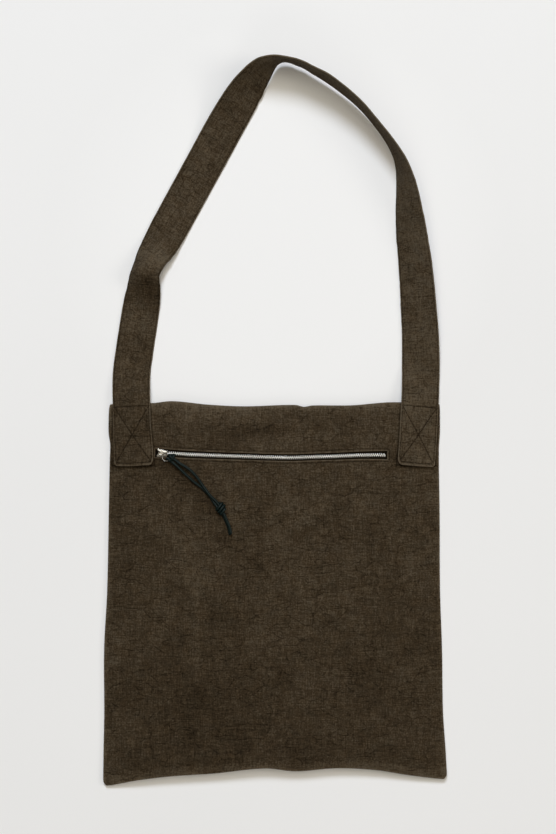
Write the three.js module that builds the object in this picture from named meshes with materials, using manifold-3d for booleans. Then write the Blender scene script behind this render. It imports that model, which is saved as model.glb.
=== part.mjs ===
// A flat linen shoulder bag lying on its back: two cloth walls, a long strap, a front zip and a leather pull.
// Millimetres, +Z up from the surface it lies on, +X to the bag's right, +Y towards the strap's top.
import * as THREE from "three";
import { mergeVertices } from "three/addons/utils/BufferGeometryUtils.js";
import Module from "manifold-3d";

const wasm = await Module();
wasm.setup();

// Cloth and hardware sizes
const GAP = 0.3;
const WALL = 1.5;
const HEM_EXTRA = 0.7;
const HEM_DEPTH = 30;
const HEM_STEP = 4;
const CAVITY = 9;
const MOUTH_SHARE = 0.65;
const MOUTH_CROWN = 30;
const SIDE_CROWN = 6;
const BOTTOM_CROWN = 14;
const CORNER_RADIUS = 7;
const CURL_LENGTH = 58;
const PANEL_COLUMNS = 22;
const FRONT_ROWS = 26;
const BACK_ROWS = 12;

const STRAP_WIDTH = 42;
const STRAP_THICKNESS = 2.5;
const STRAP_SPANS = 4;
const STRAP_STEPS_PER_ROW = 3;
const STRAP_RAMP = 45;

const ZIP_LEFT = -131.5;
const ZIP_RIGHT = 122.5;
const SLOT_HALF_MID = 3.7;
const SLOT_HALF_END = 4.5;
const TAPE_THICKNESS = 0.8;
const TAPE_INNER = 2.75;
const TAPE_OUTER = 14;
const TAPE_OVERRUN = 7;
const ZIP_STEPS = 24;
const SLOT_CUT_HEIGHT = 40;
const TEETH_LEFT = -121.5;
const TOOTH_PITCH = 2.33;
const TOOTH_WIDTH = 0.95;
const TOOTH_REACH = 0.75;
const SPINE_INNER = 1.35;
const SPINE_OUTER = 2.45;
const TEETH_HEIGHT = 1.8;

const SLIDER_X = -124.4;
const SLIDER_CHANNEL = 2.4;
const SLIDER_PLATE = 1.1;
const SLIDER_FLANGE = 0.4;
const WELD = 0.2;
const BRIDGE_START = { x: -127, y: -31.8 };
const BRIDGE_END = { x: -119.6, y: -35 };
const BRIDGE_WIDTH = 1.8;
const BRIDGE_BAR = 1;
const BRIDGE_CORNER = 0.6;
const BRIDGE_CLEAR = 3;

const RING_CENTRE = { x: -119.4, y: -37.3, rise: 2.4 };
const RING_RADIUS = 4.3;
const RING_WIRE = 1.3;
const RING_TILT = -14;
const LACE_DIAMETER = 3;
const LACE_SIDES = 8;
const HITCH = { x: -113.6, y: -38.2, long: 5.4, wide: 4.4, high: 3.7, turn: -52 };
const KNOT = { x: -59.2, y: -93, long: 7.4, wide: 4.4, high: 3.2, turn: 66 };

// Side edges of both walls, left and right of the middle at each height y
const SIDE_EDGES = [
  { y: 24, left: -179.5, right: 180.2 },
  { y: 18, left: -182.1, right: 180.8 },
  { y: 5, left: -183, right: 181 },
  { y: -11, left: -183, right: 180.9 },
  { y: -24, left: -181.3, right: 180 },
  { y: -42, left: -181.8, right: 179.8 },
  { y: -96, left: -182.8, right: 180.6 },
  { y: -184, left: -184.6, right: 181.1 },
  { y: -250, left: -188, right: 183.3 },
  { y: -315, left: -187.8, right: 184.3 },
  { y: -360, left: -188.6, right: 187.2 },
  { y: -399, left: -189, right: 189.2 },
];

// Wavy top hem
const TOP_EDGE = [
  { x: -184, y: 20.5 },
  { x: -135, y: 21.8 },
  { x: -113, y: 24 },
  { x: -74, y: 20.2 },
  { x: -34, y: 18.3 },
  { x: 22, y: 19.8 },
  { x: 31.6, y: 17.6 },
  { x: 41, y: 19.2 },
  { x: 84, y: 19.4 },
  { x: 128, y: 22.8 },
  { x: 182, y: 20.7 },
];

// Bottom seam: its line across the bag and how far it curls up off the surface
const BOTTOM_EDGE = [
  { x: -189, y: -398.5, lift: 1 },
  { x: -179, y: -397.6, lift: 2 },
  { x: -153, y: -391.9, lift: 7 },
  { x: -117, y: -387, lift: 9.5 },
  { x: -65, y: -383.3, lift: 10 },
  { x: -12, y: -377.6, lift: 12 },
  { x: 23, y: -381, lift: 10 },
  { x: 67, y: -377.7, lift: 10 },
  { x: 110, y: -380, lift: 8.5 },
  { x: 146, y: -385.9, lift: 6 },
  { x: 181, y: -390.6, lift: 3.5 },
  { x: 190, y: -391, lift: 3 },
];

// Soft folds of the front wall: middle, direction in degrees, half length, half width and height
const FRONT_FOLDS = [
  { x: -110, y: -118, turn: 12, long: 70, wide: 9, high: 0.7 },
  { x: 60, y: -160, turn: -24, long: 80, wide: 12, high: 0.9 },
  { x: 118, y: -215, turn: -48, long: 60, wide: 10, high: 0.8 },
  { x: -60, y: -255, turn: 30, long: 85, wide: 14, high: -0.9 },
  { x: 72, y: -300, turn: 18, long: 75, wide: 12, high: 0.9 },
  { x: -130, y: -320, turn: 70, long: 50, wide: 10, high: 0.8 },
  { x: -20, y: -5, turn: 4, long: 90, wide: 9, high: 0.6 },
];

// Closed zip's line across the front
const ZIP_LINE = [
  { x: -140, y: -33.2 },
  { x: -118, y: -33.2 },
  { x: -91, y: -34.7 },
  { x: -38, y: -36.6 },
  { x: 14, y: -38 },
  { x: 40, y: -37.3 },
  { x: 67, y: -36.5 },
  { x: 97, y: -35.3 },
  { x: 131, y: -35.3 },
];

// Strap's middle line from the left patch round to the right one; roll: 0 lies flat, 90 stands on its
// inner edge; arch: rise of the middle over the two edges; lift: lower edge's height off the surface
const STRAP_ROWS = [
  { x: -155.6, y: -46, roll: 0, arch: 0, lift: 0 },
  { x: -156.4, y: -18, roll: 0, arch: 0, lift: 0 },
  { x: -157, y: 4, roll: 0, arch: 0, lift: 0 },
  { x: -157.3, y: 14, roll: 0, arch: 0, lift: 0 },
  { x: -157.6, y: 22, roll: 0, arch: 0, lift: 0 },
  { x: -157.8, y: 54, roll: 0, arch: 1, lift: 0 },
  { x: -154.5, y: 80, roll: 0, arch: 1.5, lift: 0 },
  { x: -150.4, y: 107, roll: 0, arch: 2, lift: 0 },
  { x: -147.8, y: 124, roll: -1, arch: 3, lift: 0 },
  { x: -144.4, y: 146, roll: -7, arch: 7.5, lift: 0 },
  { x: -141.6, y: 164, roll: -15, arch: 12, lift: 0 },
  { x: -135, y: 181, roll: -12, arch: 10, lift: 0 },
  { x: -126.6, y: 195, roll: -6, arch: 6, lift: 0 },
  { x: -115, y: 216.5, roll: -1, arch: 2, lift: 0 },
  { x: -95.9, y: 251.5, roll: 0, arch: 0, lift: 0 },
  { x: -74.2, y: 291, roll: 2, arch: 0, lift: 0 },
  { x: -52.2, y: 330.4, roll: 12, arch: 0, lift: 0 },
  { x: -31.4, y: 363.3, roll: 33, arch: 0, lift: 1.5 },
  { x: -12.5, y: 385.6, roll: 60, arch: 0, lift: 4.5 },
  { x: 6, y: 395.4, roll: 90, arch: 0, lift: 7 },
  { x: 27, y: 391, roll: 91, arch: 0, lift: 7 },
  { x: 43, y: 382.6, roll: 89, arch: 0, lift: 6 },
  { x: 59, y: 373.5, roll: 87, arch: 0, lift: 5 },
  { x: 91.3, y: 347.6, roll: 88, arch: 0, lift: 3 },
  { x: 114, y: 321.7, roll: 88, arch: 0, lift: 1.5 },
  { x: 127.2, y: 303.4, roll: 85, arch: 0, lift: 0.5 },
  { x: 136.3, y: 286.2, roll: 78, arch: 0, lift: 0 },
  { x: 142.5, y: 261, roll: 64, arch: 0, lift: 0 },
  { x: 147, y: 223, roll: 46, arch: 0, lift: 0 },
  { x: 153.4, y: 172, roll: 32, arch: 0, lift: 0 },
  { x: 156.6, y: 133, roll: 25, arch: 0, lift: 0 },
  { x: 159.2, y: 93, roll: 16, arch: 0, lift: 0 },
  { x: 159.8, y: 54, roll: 5, arch: 1, lift: 0 },
  { x: 158.8, y: 22, roll: 0, arch: 0, lift: 0 },
  { x: 158.2, y: 14, roll: 0, arch: 0, lift: 0 },
  { x: 157.6, y: 4, roll: 0, arch: 0, lift: 0 },
  { x: 156.5, y: -18, roll: 0, arch: 0, lift: 0 },
  { x: 154.3, y: -46, roll: 0, arch: 0, lift: 0 },
];

// Leather lace, folded double: each half runs from the hitch through the knot to its loose end; rise: clear
// height under it where the hitch and the knot hold it up
const LACE_ROUTES = {
  upper: [
    { x: -114.4, y: -37.1, rise: 3.6 },
    { x: -109.6, y: -40, rise: 3.5 },
    { x: -104, y: -44.2, rise: 3.3 },
    { x: -97.8, y: -47.8, rise: 3.1 },
    { x: -92.3, y: -51.9, rise: 3 },
    { x: -87.6, y: -56.6, rise: 3 },
    { x: -83.8, y: -61.3, rise: 3.1 },
    { x: -79.9, y: -67.1, rise: 3.2 },
    { x: -76, y: -72.6, rise: 3.4 },
    { x: -72.1, y: -78, rise: 3.5 },
    { x: -67.6, y: -82.6, rise: 3.1 },
    { x: -63.3, y: -86.9, rise: 2.8 },
    { x: -59, y: -93.6, rise: 2.6 },
    { x: -55.4, y: -100.4, rise: 2.8 },
    { x: -52.5, y: -106.9, rise: 2.8 },
    { x: -49.8, y: -113.9, rise: 2.8 },
    { x: -48.3, y: -120, rise: 2.8 },
  ],
  lower: [
    { x: -115.2, y: -40.6, rise: 3.2 },
    { x: -111.9, y: -43.2, rise: 3 },
    { x: -108, y: -46.5, rise: 2.7 },
    { x: -103.3, y: -50.8, rise: 2.4 },
    { x: -98.6, y: -55.4, rise: 2 },
    { x: -93.5, y: -60.1, rise: 1.6 },
    { x: -89.3, y: -63.9, rise: 1.2 },
    { x: -84.6, y: -67.6, rise: 0.8 },
    { x: -79.9, y: -71, rise: 0.5 },
    { x: -76, y: -75, rise: 0.4 },
    { x: -71.7, y: -79.8, rise: 0.4 },
    { x: -68.2, y: -85.2, rise: 0.6 },
    { x: -64.9, y: -89.6, rise: 0.9 },
    { x: -61.2, y: -95.2, rise: 0.9 },
    { x: -56.6, y: -101.2, rise: 0.1 },
    { x: -53.7, y: -107.5, rise: 0 },
    { x: -51, y: -114.5, rise: 0 },
    { x: -49.5, y: -121.2, rise: 0 },
  ],
};

// The pieces that show of each half, as the first and the last of its points
const LACE_PIECES = {
  pull_strand_upper: { half: "upper", first: 0, last: 12 },
  pull_strand_lower: { half: "lower", first: 0, last: 13 },
  pull_tail_long: { half: "upper", first: 12, last: 16 },
  pull_tail_short: { half: "lower", first: 13, last: 17 },
};

// A smooth function through a table's rows, reading column `to` against column `from`
function throughTable(rows, from, to) {
  const sorted = [...rows].sort((a, b) => a[from] - b[from]);
  const last = sorted.length - 1;
  const slope = (i, j) => (sorted[j][to] - sorted[i][to]) / (sorted[j][from] - sorted[i][from]);
  const tangents = sorted.map((_, i) => slope(Math.max(i - 1, 0), Math.min(i + 1, last)));
  return (at) => {
    const inside = THREE.MathUtils.clamp(at, sorted[0][from], sorted[last][from]);
    const after = sorted.findIndex((row) => row[from] > inside);
    const k = after < 0 ? last - 1 : after - 1;
    const span = sorted[k + 1][from] - sorted[k][from];
    const t = (inside - sorted[k][from]) / span;
    const ease = t * t * (3 - 2 * t);
    const bend = t * (1 - t) * span * ((1 - t) * tangents[k] - t * tangents[k + 1]);
    return THREE.MathUtils.lerp(sorted[k][to], sorted[k + 1][to], ease) + bend;
  };
}

const leftEdge = throughTable(SIDE_EDGES, "y", "left");
const rightEdge = throughTable(SIDE_EDGES, "y", "right");
const topEdge = throughTable(TOP_EDGE, "x", "y");
const bottomEdge = throughTable(BOTTOM_EDGE, "x", "y");
const bottomLift = throughTable(BOTTOM_EDGE, "x", "lift");
const zipLine = throughTable(ZIP_LINE, "x", "y");
const leftCorner = BOTTOM_EDGE[0].y;
const rightCorner = BOTTOM_EDGE[BOTTOM_EDGE.length - 1].y;

// How far a round corner draws the side edge in at a height above the corner
function cornerInset(above) {
  const short = Math.max(CORNER_RADIUS - Math.max(above, 0), 0);
  return CORNER_RADIUS - Math.sqrt(CORNER_RADIUS ** 2 - short ** 2);
}

const leftSide = (y) => leftEdge(y) + cornerInset(y - leftCorner);
const rightSide = (y) => rightEdge(y) - cornerInset(y - rightCorner);

// A wall's plan point at u across and v up the bag, both from 0 to 1
function planPoint(u, v) {
  let x = THREE.MathUtils.lerp(SIDE_EDGES[0].left, SIDE_EDGES[0].right, u);
  let y = 0;
  for (let pass = 0; pass < 6; pass += 1) {
    y = THREE.MathUtils.lerp(bottomEdge(x), topEdge(x), v);
    x = THREE.MathUtils.lerp(leftSide(y), rightSide(y), u);
  }
  return { x, y };
}

function shareAcross(x, y) {
  const share = (x - leftSide(y)) / (rightSide(y) - leftSide(y));
  return THREE.MathUtils.clamp(share, 0, 1);
}

function shareUp(x, y) {
  const share = (y - bottomEdge(x)) / (topEdge(x) - bottomEdge(x));
  return THREE.MathUtils.clamp(share, 0, 1);
}

// Underside of the back wall: flat on the surface, curling up along the bottom seam
function backUnder(x, y) {
  const near = Math.max(1 - Math.max(y - bottomEdge(x), 0) / CURL_LENGTH, 0);
  return bottomLift(x) * near * near;
}

function foldHeight(x, y) {
  return FRONT_FOLDS.reduce((sum, fold) => {
    const turn = THREE.MathUtils.degToRad(fold.turn);
    const along = (x - fold.x) * Math.cos(turn) + (y - fold.y) * Math.sin(turn);
    const across = (y - fold.y) * Math.cos(turn) - (x - fold.x) * Math.sin(turn);
    return sum + fold.high * Math.exp(-((along / fold.long) ** 2) - (across / fold.wide) ** 2);
  }, 0);
}

// Underside of the front wall: a low crown that meets the back wall at the side and bottom seams
function frontUnder(x, y) {
  const u = shareAcross(x, y);
  const v = shareUp(x, y);
  const sides = 1 - Math.abs(2 * u - 1) ** SIDE_CROWN;
  const bottom = 1 - (1 - v) ** BOTTOM_CROWN;
  const mouth = 1 - (1 - MOUTH_SHARE) * v ** MOUTH_CROWN;
  return backUnder(x, y) + WALL + GAP + (CAVITY * mouth + foldHeight(x, y)) * sides * bottom;
}

function frontTop(x, y) {
  const hemStart = topEdge(x) - HEM_DEPTH;
  const hem = THREE.MathUtils.smoothstep(y, hemStart, hemStart + HEM_STEP);
  const seam = shareAcross(x, y) * (1 - shareAcross(x, y)) * 4;
  return frontUnder(x, y) + WALL + HEM_EXTRA * hem * seam;
}

// Height that the strap lies on: the front wall, and past the hem a slope down to the surface
function strapSupport(x, y) {
  const past = y - topEdge(x);
  if (past <= 0) return frontTop(x, y) + GAP;
  return (frontTop(x, topEdge(x)) + GAP) * (1 - THREE.MathUtils.smoothstep(past, 0, STRAP_RAMP));
}

function geometryFrom(positions, indices) {
  const geometry = new THREE.BufferGeometry();
  geometry.setAttribute("position", new THREE.Float32BufferAttribute(positions, 3));
  geometry.setIndex(indices);
  geometry.computeVertexNormals();
  return geometry;
}

// A closed solid between an upper and a lower grid of points, both rows by columns
function slab(upper, lower) {
  const rows = upper.length;
  const columns = upper[0].length;
  const points = [...upper.flat(), ...lower.flat()];
  const indices = [];
  const quad = (a, b, c, d) => indices.push(a, b, c, a, c, d);
  const top = (r, c) => r * columns + c;
  const under = (r, c) => rows * columns + r * columns + c;
  for (let r = 0; r < rows - 1; r += 1) {
    for (let c = 0; c < columns - 1; c += 1) {
      quad(top(r, c), top(r, c + 1), top(r + 1, c + 1), top(r + 1, c));
      quad(under(r, c), under(r + 1, c), under(r + 1, c + 1), under(r, c + 1));
    }
    quad(top(r, 0), top(r + 1, 0), under(r + 1, 0), under(r, 0));
    quad(top(r + 1, columns - 1), top(r, columns - 1), under(r, columns - 1), under(r + 1, columns - 1));
  }
  for (let c = 0; c < columns - 1; c += 1) {
    quad(top(0, c + 1), top(0, c), under(0, c), under(0, c + 1));
    quad(top(rows - 1, c), top(rows - 1, c + 1), under(rows - 1, c + 1), under(rows - 1, c));
  }
  return geometryFrom(points.flatMap((p) => [p.x, p.y, p.z]), indices);
}

// Shares from 0 to 1, closer together near both ends
function edgeSpaced(count) {
  return Array.from({ length: count + 1 }, (_, i) => 0.5 - 0.5 * Math.cos((Math.PI * i) / count));
}

function wall(rows, topHeight, underHeight) {
  const grid = edgeSpaced(rows).map((v) => edgeSpaced(PANEL_COLUMNS).map((u) => planPoint(u, v)));
  const raised = (height) => grid.map((row) => row.map((p) => ({ ...p, z: height(p.x, p.y) })));
  return slab(raised(topHeight), raised(underHeight));
}

function toManifold(geometry) {
  const bare = geometry.clone();
  bare.deleteAttribute("normal");
  bare.deleteAttribute("uv");
  const merged = mergeVertices(bare, 1e-3);
  return new wasm.Manifold(
    new wasm.Mesh({
      numProp: 3,
      vertProperties: merged.attributes.position.array,
      triVerts: new Uint32Array(merged.index.array),
    }),
  );
}

function fromManifold(solid) {
  const mesh = solid.getMesh();
  return geometryFrom([...mesh.vertProperties], [...mesh.triVerts]);
}

const subtract = (a, b) => fromManifold(toManifold(a).subtract(toManifold(b)));
const unite = (parts) => fromManifold(parts.map(toManifold).reduce((sum, part) => sum.add(part)));

// An extruded outline of {x, y} points, standing from height `low` up by `high`
function prism(points, low, high) {
  const shape = new THREE.Shape(points.map((p) => new THREE.Vector2(p.x, p.y)));
  const solid = new THREE.ExtrudeGeometry(shape, { depth: high, bevelEnabled: false });
  return solid.translate(0, 0, low);
}

function steps(from, to, count) {
  return Array.from({ length: count + 1 }, (_, i) => THREE.MathUtils.lerp(from, to, i / count));
}

const zipMiddle = (ZIP_LEFT + ZIP_RIGHT) / 2;
const zipHalf = (ZIP_RIGHT - ZIP_LEFT) / 2;

function slotHalf(x) {
  const share = Math.abs(x - zipMiddle) / zipHalf;
  return THREE.MathUtils.lerp(SLOT_HALF_MID, SLOT_HALF_END, share ** 3);
}

function frontPanel() {
  const across = steps(ZIP_LEFT, ZIP_RIGHT, ZIP_STEPS);
  const lower = across.map((x) => ({ x, y: zipLine(x) - slotHalf(x) }));
  const upper = across.map((x) => ({ x, y: zipLine(x) + slotHalf(x) })).reverse();
  const slot = prism([...lower, ...upper], 0, SLOT_CUT_HEIGHT);
  return subtract(wall(FRONT_ROWS, frontTop, frontUnder), slot);
}

const backPanel = () => wall(BACK_ROWS, (x, y) => backUnder(x, y) + WALL, backUnder);

// The strap's sections, swept along its middle line with each row's roll, arch and lift.
// An arched section spans less than the strap's width, as a parabola of the same length does
function strap() {
  const last = STRAP_ROWS.length - 1;
  const line = new THREE.CatmullRomCurve3(STRAP_ROWS.map((r) => new THREE.Vector3(r.x, r.y, r.lift)));
  const pose = new THREE.SplineCurve(STRAP_ROWS.map((r) => new THREE.Vector2(r.roll, r.arch)));
  const shares = steps(1, -1, STRAP_SPANS);
  const front = [];
  const back = [];
  for (const t of steps(0, 1, last * STRAP_STEPS_PER_ROW)) {
    const middle = line.getPoint(t);
    const along = line.getTangent(t);
    const out = new THREE.Vector3(-along.y, along.x, 0).normalize();
    const { x: degrees, y: arch } = pose.getPoint(t);
    const roll = THREE.MathUtils.degToRad(degrees);
    const facing = new THREE.Vector3(0, 0, Math.cos(roll)).addScaledVector(out, -Math.sin(roll));
    const across = out.clone().multiplyScalar(Math.cos(roll)).setZ(Math.sin(roll));
    middle.z += (STRAP_WIDTH * Math.abs(Math.sin(roll)) + STRAP_THICKNESS * Math.abs(Math.cos(roll))) / 2;
    const halfSpan = (STRAP_WIDTH / 2) * (1 - (8 / 3) * (arch / STRAP_WIDTH) ** 2);
    const section = shares.map((share) => {
      const point = middle.clone().addScaledVector(across, share * halfSpan);
      return point.addScaledVector(facing, arch * (1 - share * share));
    });
    const raise = section.map((p) => Math.max(strapSupport(p.x, p.y) - p.z + STRAP_THICKNESS / 2, 0));
    const shifted = (share) =>
      section.map((p, i) => {
        const moved = p.clone().addScaledVector(facing, share * STRAP_THICKNESS);
        return moved.setZ(Math.max(moved.z, 0) + raise[i]);
      });
    front.push(shifted(0.5));
    back.push(shifted(-0.5));
  }
  return slab(front, back);
}

const tapeTop = (x, y) => frontUnder(x, y) - GAP;
const tapeMiddle = (x) => tapeTop(x, zipLine(x)) - TAPE_THICKNESS / 2;

// One zip tape: `side` is 1 above the teeth and -1 below them
function zipTape(side) {
  const edges = side > 0 ? [TAPE_INNER, TAPE_OUTER] : [-TAPE_OUTER, -TAPE_INNER];
  const across = steps(ZIP_LEFT - TAPE_OVERRUN, ZIP_RIGHT + TAPE_OVERRUN, ZIP_STEPS);
  const grid = (drop) =>
    edges.map((edge) =>
      across.map((x) => {
        const y = zipLine(x) + edge;
        return { x, y, z: tapeTop(x, y) - drop };
      }),
    );
  return slab(grid(0), grid(TAPE_THICKNESS));
}

// One row of teeth fused to the spine that clamps the tape; the two rows lie half a pitch apart
function zipTeeth(side) {
  const count = Math.floor((ZIP_RIGHT - TEETH_LEFT) / TOOTH_PITCH);
  const start = TEETH_LEFT + (side > 0 ? 0 : TOOTH_PITCH / 2);
  const at = (x, off) => ({ x, y: zipLine(x) + side * off });
  const outline = [];
  for (let i = 0; i < count; i += 1) {
    const x = start + i * TOOTH_PITCH;
    outline.push(at(x, SPINE_INNER), at(x, -TOOTH_REACH));
    outline.push(at(x + TOOTH_WIDTH, -TOOTH_REACH), at(x + TOOTH_WIDTH, SPINE_INNER));
  }
  const end = outline[outline.length - 1].x;
  outline.push(...steps(end, start, ZIP_STEPS).map((x) => at(x, SPINE_OUTER)));
  const teeth = prism(outline, -TEETH_HEIGHT / 2, TEETH_HEIGHT);
  const position = teeth.getAttribute("position");
  for (let i = 0; i < position.count; i += 1) {
    position.setZ(i, position.getZ(i) + tapeMiddle(position.getX(i)));
  }
  return teeth;
}

const sliderHeight = tapeMiddle(SLIDER_X);
const sliderTop = sliderHeight + SLIDER_CHANNEL / 2 + SLIDER_PLATE;
const frontAtSlider = frontTop(SLIDER_X, zipLine(SLIDER_X) - SLOT_HALF_END);

// Slider: two waisted plates joined by a post at the nose, turned-in flanges, and a bridge for the ring
function zipSlider() {
  const y = zipLine(SLIDER_X);
  const plate = [
    { x: -6.2, y: -2.2 },
    { x: -5, y: -4.4 },
    { x: -1.5, y: -4.3 },
    { x: 2.5, y: -3.7 },
    { x: 6.2, y: -3.5 },
    { x: 6.2, y: 3.5 },
    { x: 2.5, y: 3.7 },
    { x: -1.5, y: 4.3 },
    { x: -5, y: 4.4 },
    { x: -6.2, y: 2.2 },
  ];
  const post = [
    { x: -6, y: -1 },
    { x: -2.4, y: 0 },
    { x: -6, y: 1 },
  ];
  const half = SLIDER_CHANNEL / 2;
  const body = [
    prism(plate, half, SLIDER_PLATE),
    prism(plate, -half - SLIDER_PLATE, SLIDER_PLATE),
    prism(post, -half - WELD, SLIDER_CHANNEL + 2 * WELD),
  ];
  for (const side of [-1, 1]) {
    const flange = [
      { x: -4.6, y: side * 3.5 },
      { x: -4.6, y: side * 4.2 },
      { x: 6, y: side * 3.45 },
      { x: 6, y: side * 2.9 },
    ];
    const turned = side > 0 ? flange.reverse() : flange;
    body.push(prism(turned, half - SLIDER_FLANGE, SLIDER_FLANGE + WELD));
    body.push(prism(turned, -half - WELD, SLIDER_FLANGE + WELD));
  }
  const placed = unite(body).translate(SLIDER_X, y, sliderHeight);
  return unite([placed, sliderBridge()]);
}

// The bridge: an arched bar over the slider's upper plate
function sliderBridge() {
  const run = new THREE.Vector2(BRIDGE_END.x - BRIDGE_START.x, BRIDGE_END.y - BRIDGE_START.y);
  const long = run.length();
  const clear = BRIDGE_CLEAR + frontAtSlider - sliderTop;
  const arch = [
    { x: -BRIDGE_BAR / 2, y: -WELD },
    { x: BRIDGE_BAR / 2, y: -WELD },
    { x: BRIDGE_BAR / 2, y: clear - BRIDGE_CORNER },
    { x: BRIDGE_BAR / 2 + BRIDGE_CORNER, y: clear },
    { x: long - BRIDGE_BAR / 2 - BRIDGE_CORNER, y: clear },
    { x: long - BRIDGE_BAR / 2, y: clear - BRIDGE_CORNER },
    { x: long - BRIDGE_BAR / 2, y: -WELD },
    { x: long + BRIDGE_BAR / 2, y: -WELD },
    { x: long + BRIDGE_BAR / 2, y: clear - WELD },
    { x: long - BRIDGE_BAR, y: clear + BRIDGE_BAR },
    { x: BRIDGE_BAR, y: clear + BRIDGE_BAR },
    { x: -BRIDGE_BAR / 2, y: clear - WELD },
  ];
  const bar = prism(arch, -BRIDGE_WIDTH / 2, BRIDGE_WIDTH);
  bar.rotateX(Math.PI / 2).rotateZ(run.angle());
  return bar.translate(BRIDGE_START.x, BRIDGE_START.y, sliderTop);
}

function ring(wire) {
  const torus = new THREE.TorusGeometry(RING_RADIUS, wire / 2, 6, 16);
  torus.rotateY(THREE.MathUtils.degToRad(RING_TILT));
  return torus.translate(RING_CENTRE.x, RING_CENTRE.y, frontAtSlider + RING_CENTRE.rise);
}

// A rounded lump of tightly wound lace, resting on the front, grown all round by `grow`
function lump(spec, grow) {
  const ball = new THREE.SphereGeometry(1, 12, 8);
  ball.scale(spec.long + grow, spec.wide + grow, spec.high + grow);
  ball.rotateZ(THREE.MathUtils.degToRad(spec.turn));
  const rest = frontTop(spec.x, spec.y) + GAP + spec.high;
  return ball.translate(spec.x, spec.y, rest);
}

const hitch = () => subtract(lump(HITCH, 0), ring(RING_WIRE + 2 * GAP));

// One run of lace lying on the front, cut back where it goes into the hitch or the knot
function laceRun(rows) {
  const radius = LACE_DIAMETER / 2;
  const lowest = (p) => frontTop(p.x, p.y) + GAP + p.rise;
  const points = rows.map((p) => new THREE.Vector3(p.x, p.y, lowest(p) + radius));
  const path = new THREE.CatmullRomCurve3(points);
  const sides = Array.from({ length: LACE_SIDES }, (_, i) => (2 * Math.PI * i) / LACE_SIDES);
  const round = new THREE.Shape(
    sides.map((a) => new THREE.Vector2(radius * Math.cos(a), radius * Math.sin(a))),
  );
  const count = Math.round(path.getLength() / (2 * LACE_DIAMETER));
  const tube = new THREE.ExtrudeGeometry(round, { steps: count, extrudePath: path });
  return subtract(subtract(tube, lump(HITCH, GAP)), lump(KNOT, GAP));
}

const linen = (name) => [name, 0x3b3126, 0.92, 0];
const tapeCloth = (name) => [name, 0x241f17, 0.9, 0];
const nickel = (name) => [name, 0xb9b5aa, 0.3, 1];
const leather = (name) => [name, 0x1b2927, 0.55, 0];

function named([name, color, roughness, metalness], geometry) {
  const material = new THREE.MeshStandardMaterial({ color, roughness, metalness });
  const mesh = new THREE.Mesh(geometry, material);
  mesh.name = name;
  return mesh;
}

const cloth = new THREE.Group();
cloth.add(named(linen("back_panel"), backPanel()));
cloth.add(named(linen("front_panel"), frontPanel()));
cloth.add(named(linen("strap"), strap()));

const zip = new THREE.Group();
zip.add(named(tapeCloth("zip_tape_upper"), zipTape(1)));
zip.add(named(tapeCloth("zip_tape_lower"), zipTape(-1)));
zip.add(named(nickel("zip_teeth_upper"), zipTeeth(1)));
zip.add(named(nickel("zip_teeth_lower"), zipTeeth(-1)));
zip.add(named(nickel("zip_slider"), zipSlider()));
zip.add(named(nickel("pull_ring"), ring(RING_WIRE)));

const pull = new THREE.Group();
pull.add(named(leather("pull_hitch"), hitch()));
pull.add(named(leather("pull_knot"), lump(KNOT, 0)));
for (const [name, { half, first, last }] of Object.entries(LACE_PIECES)) {
  pull.add(named(leather(name), laceRun(LACE_ROUTES[half].slice(first, last + 1))));
}

const bag = new THREE.Group();
bag.add(cloth, zip, pull);

export default bag;
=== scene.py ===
# A flat linen shoulder bag lying on its back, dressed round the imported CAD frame.
# Metres, +Z up from the surface it lies on, +X to the bag's right, +Y towards the strap's top.
import math

import bpy
import numpy as np
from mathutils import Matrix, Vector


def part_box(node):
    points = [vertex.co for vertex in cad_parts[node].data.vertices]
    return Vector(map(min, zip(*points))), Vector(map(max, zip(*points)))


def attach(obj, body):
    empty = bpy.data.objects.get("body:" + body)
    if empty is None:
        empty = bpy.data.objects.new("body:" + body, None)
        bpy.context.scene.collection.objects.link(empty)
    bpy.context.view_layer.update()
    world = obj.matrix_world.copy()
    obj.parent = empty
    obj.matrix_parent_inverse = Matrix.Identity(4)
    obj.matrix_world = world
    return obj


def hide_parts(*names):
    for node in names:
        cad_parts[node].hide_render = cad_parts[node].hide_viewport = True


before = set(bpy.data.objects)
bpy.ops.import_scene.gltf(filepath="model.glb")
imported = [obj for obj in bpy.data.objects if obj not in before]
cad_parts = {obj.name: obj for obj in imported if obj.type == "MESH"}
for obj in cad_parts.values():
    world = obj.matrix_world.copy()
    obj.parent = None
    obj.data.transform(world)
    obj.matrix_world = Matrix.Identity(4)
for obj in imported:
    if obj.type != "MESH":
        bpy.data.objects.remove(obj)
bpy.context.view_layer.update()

# Camera: straight above, with one pixel of the photograph spanning this much of the floor
CAMERA_OVER = (0.0031, 0.0065)
CAMERA_HEIGHT = 2.2
FRAME_HEIGHT_PIXELS = 834
PIXEL_SPAN = 0.0011
SENSOR_MM = 36

# Cloth sizes, as in the CAD source
GAP = 0.0003
WALL = 0.0015
HEM_EXTRA = 0.0007
HEM_DEPTH = 0.03
HEM_STEP = 0.004
CAVITY = 0.009
MOUTH_SHARE = 0.65
MOUTH_CROWN = 30
SIDE_CROWN = 6
BOTTOM_CROWN = 14
CORNER_RADIUS = 0.007
CURL_LENGTH = 0.058
STRAP_WIDTH = 0.042
STRAP_THICKNESS = 0.0025
STRAP_RAMP = 0.045

# Zip and pull sizes, as in the CAD source
ZIP_LEFT = -0.1315
ZIP_RIGHT = 0.1225
SLOT_HALF_MID = 0.0037
SLOT_HALF_END = 0.0045
TAPE_THICKNESS = 0.0008
TAPE_OUTER = 0.014
TAPE_OVERRUN = 0.007
TEETH_LEFT = -0.1215
TOOTH_PITCH = 0.00233
LACE_DIAMETER = 0.003

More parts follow.
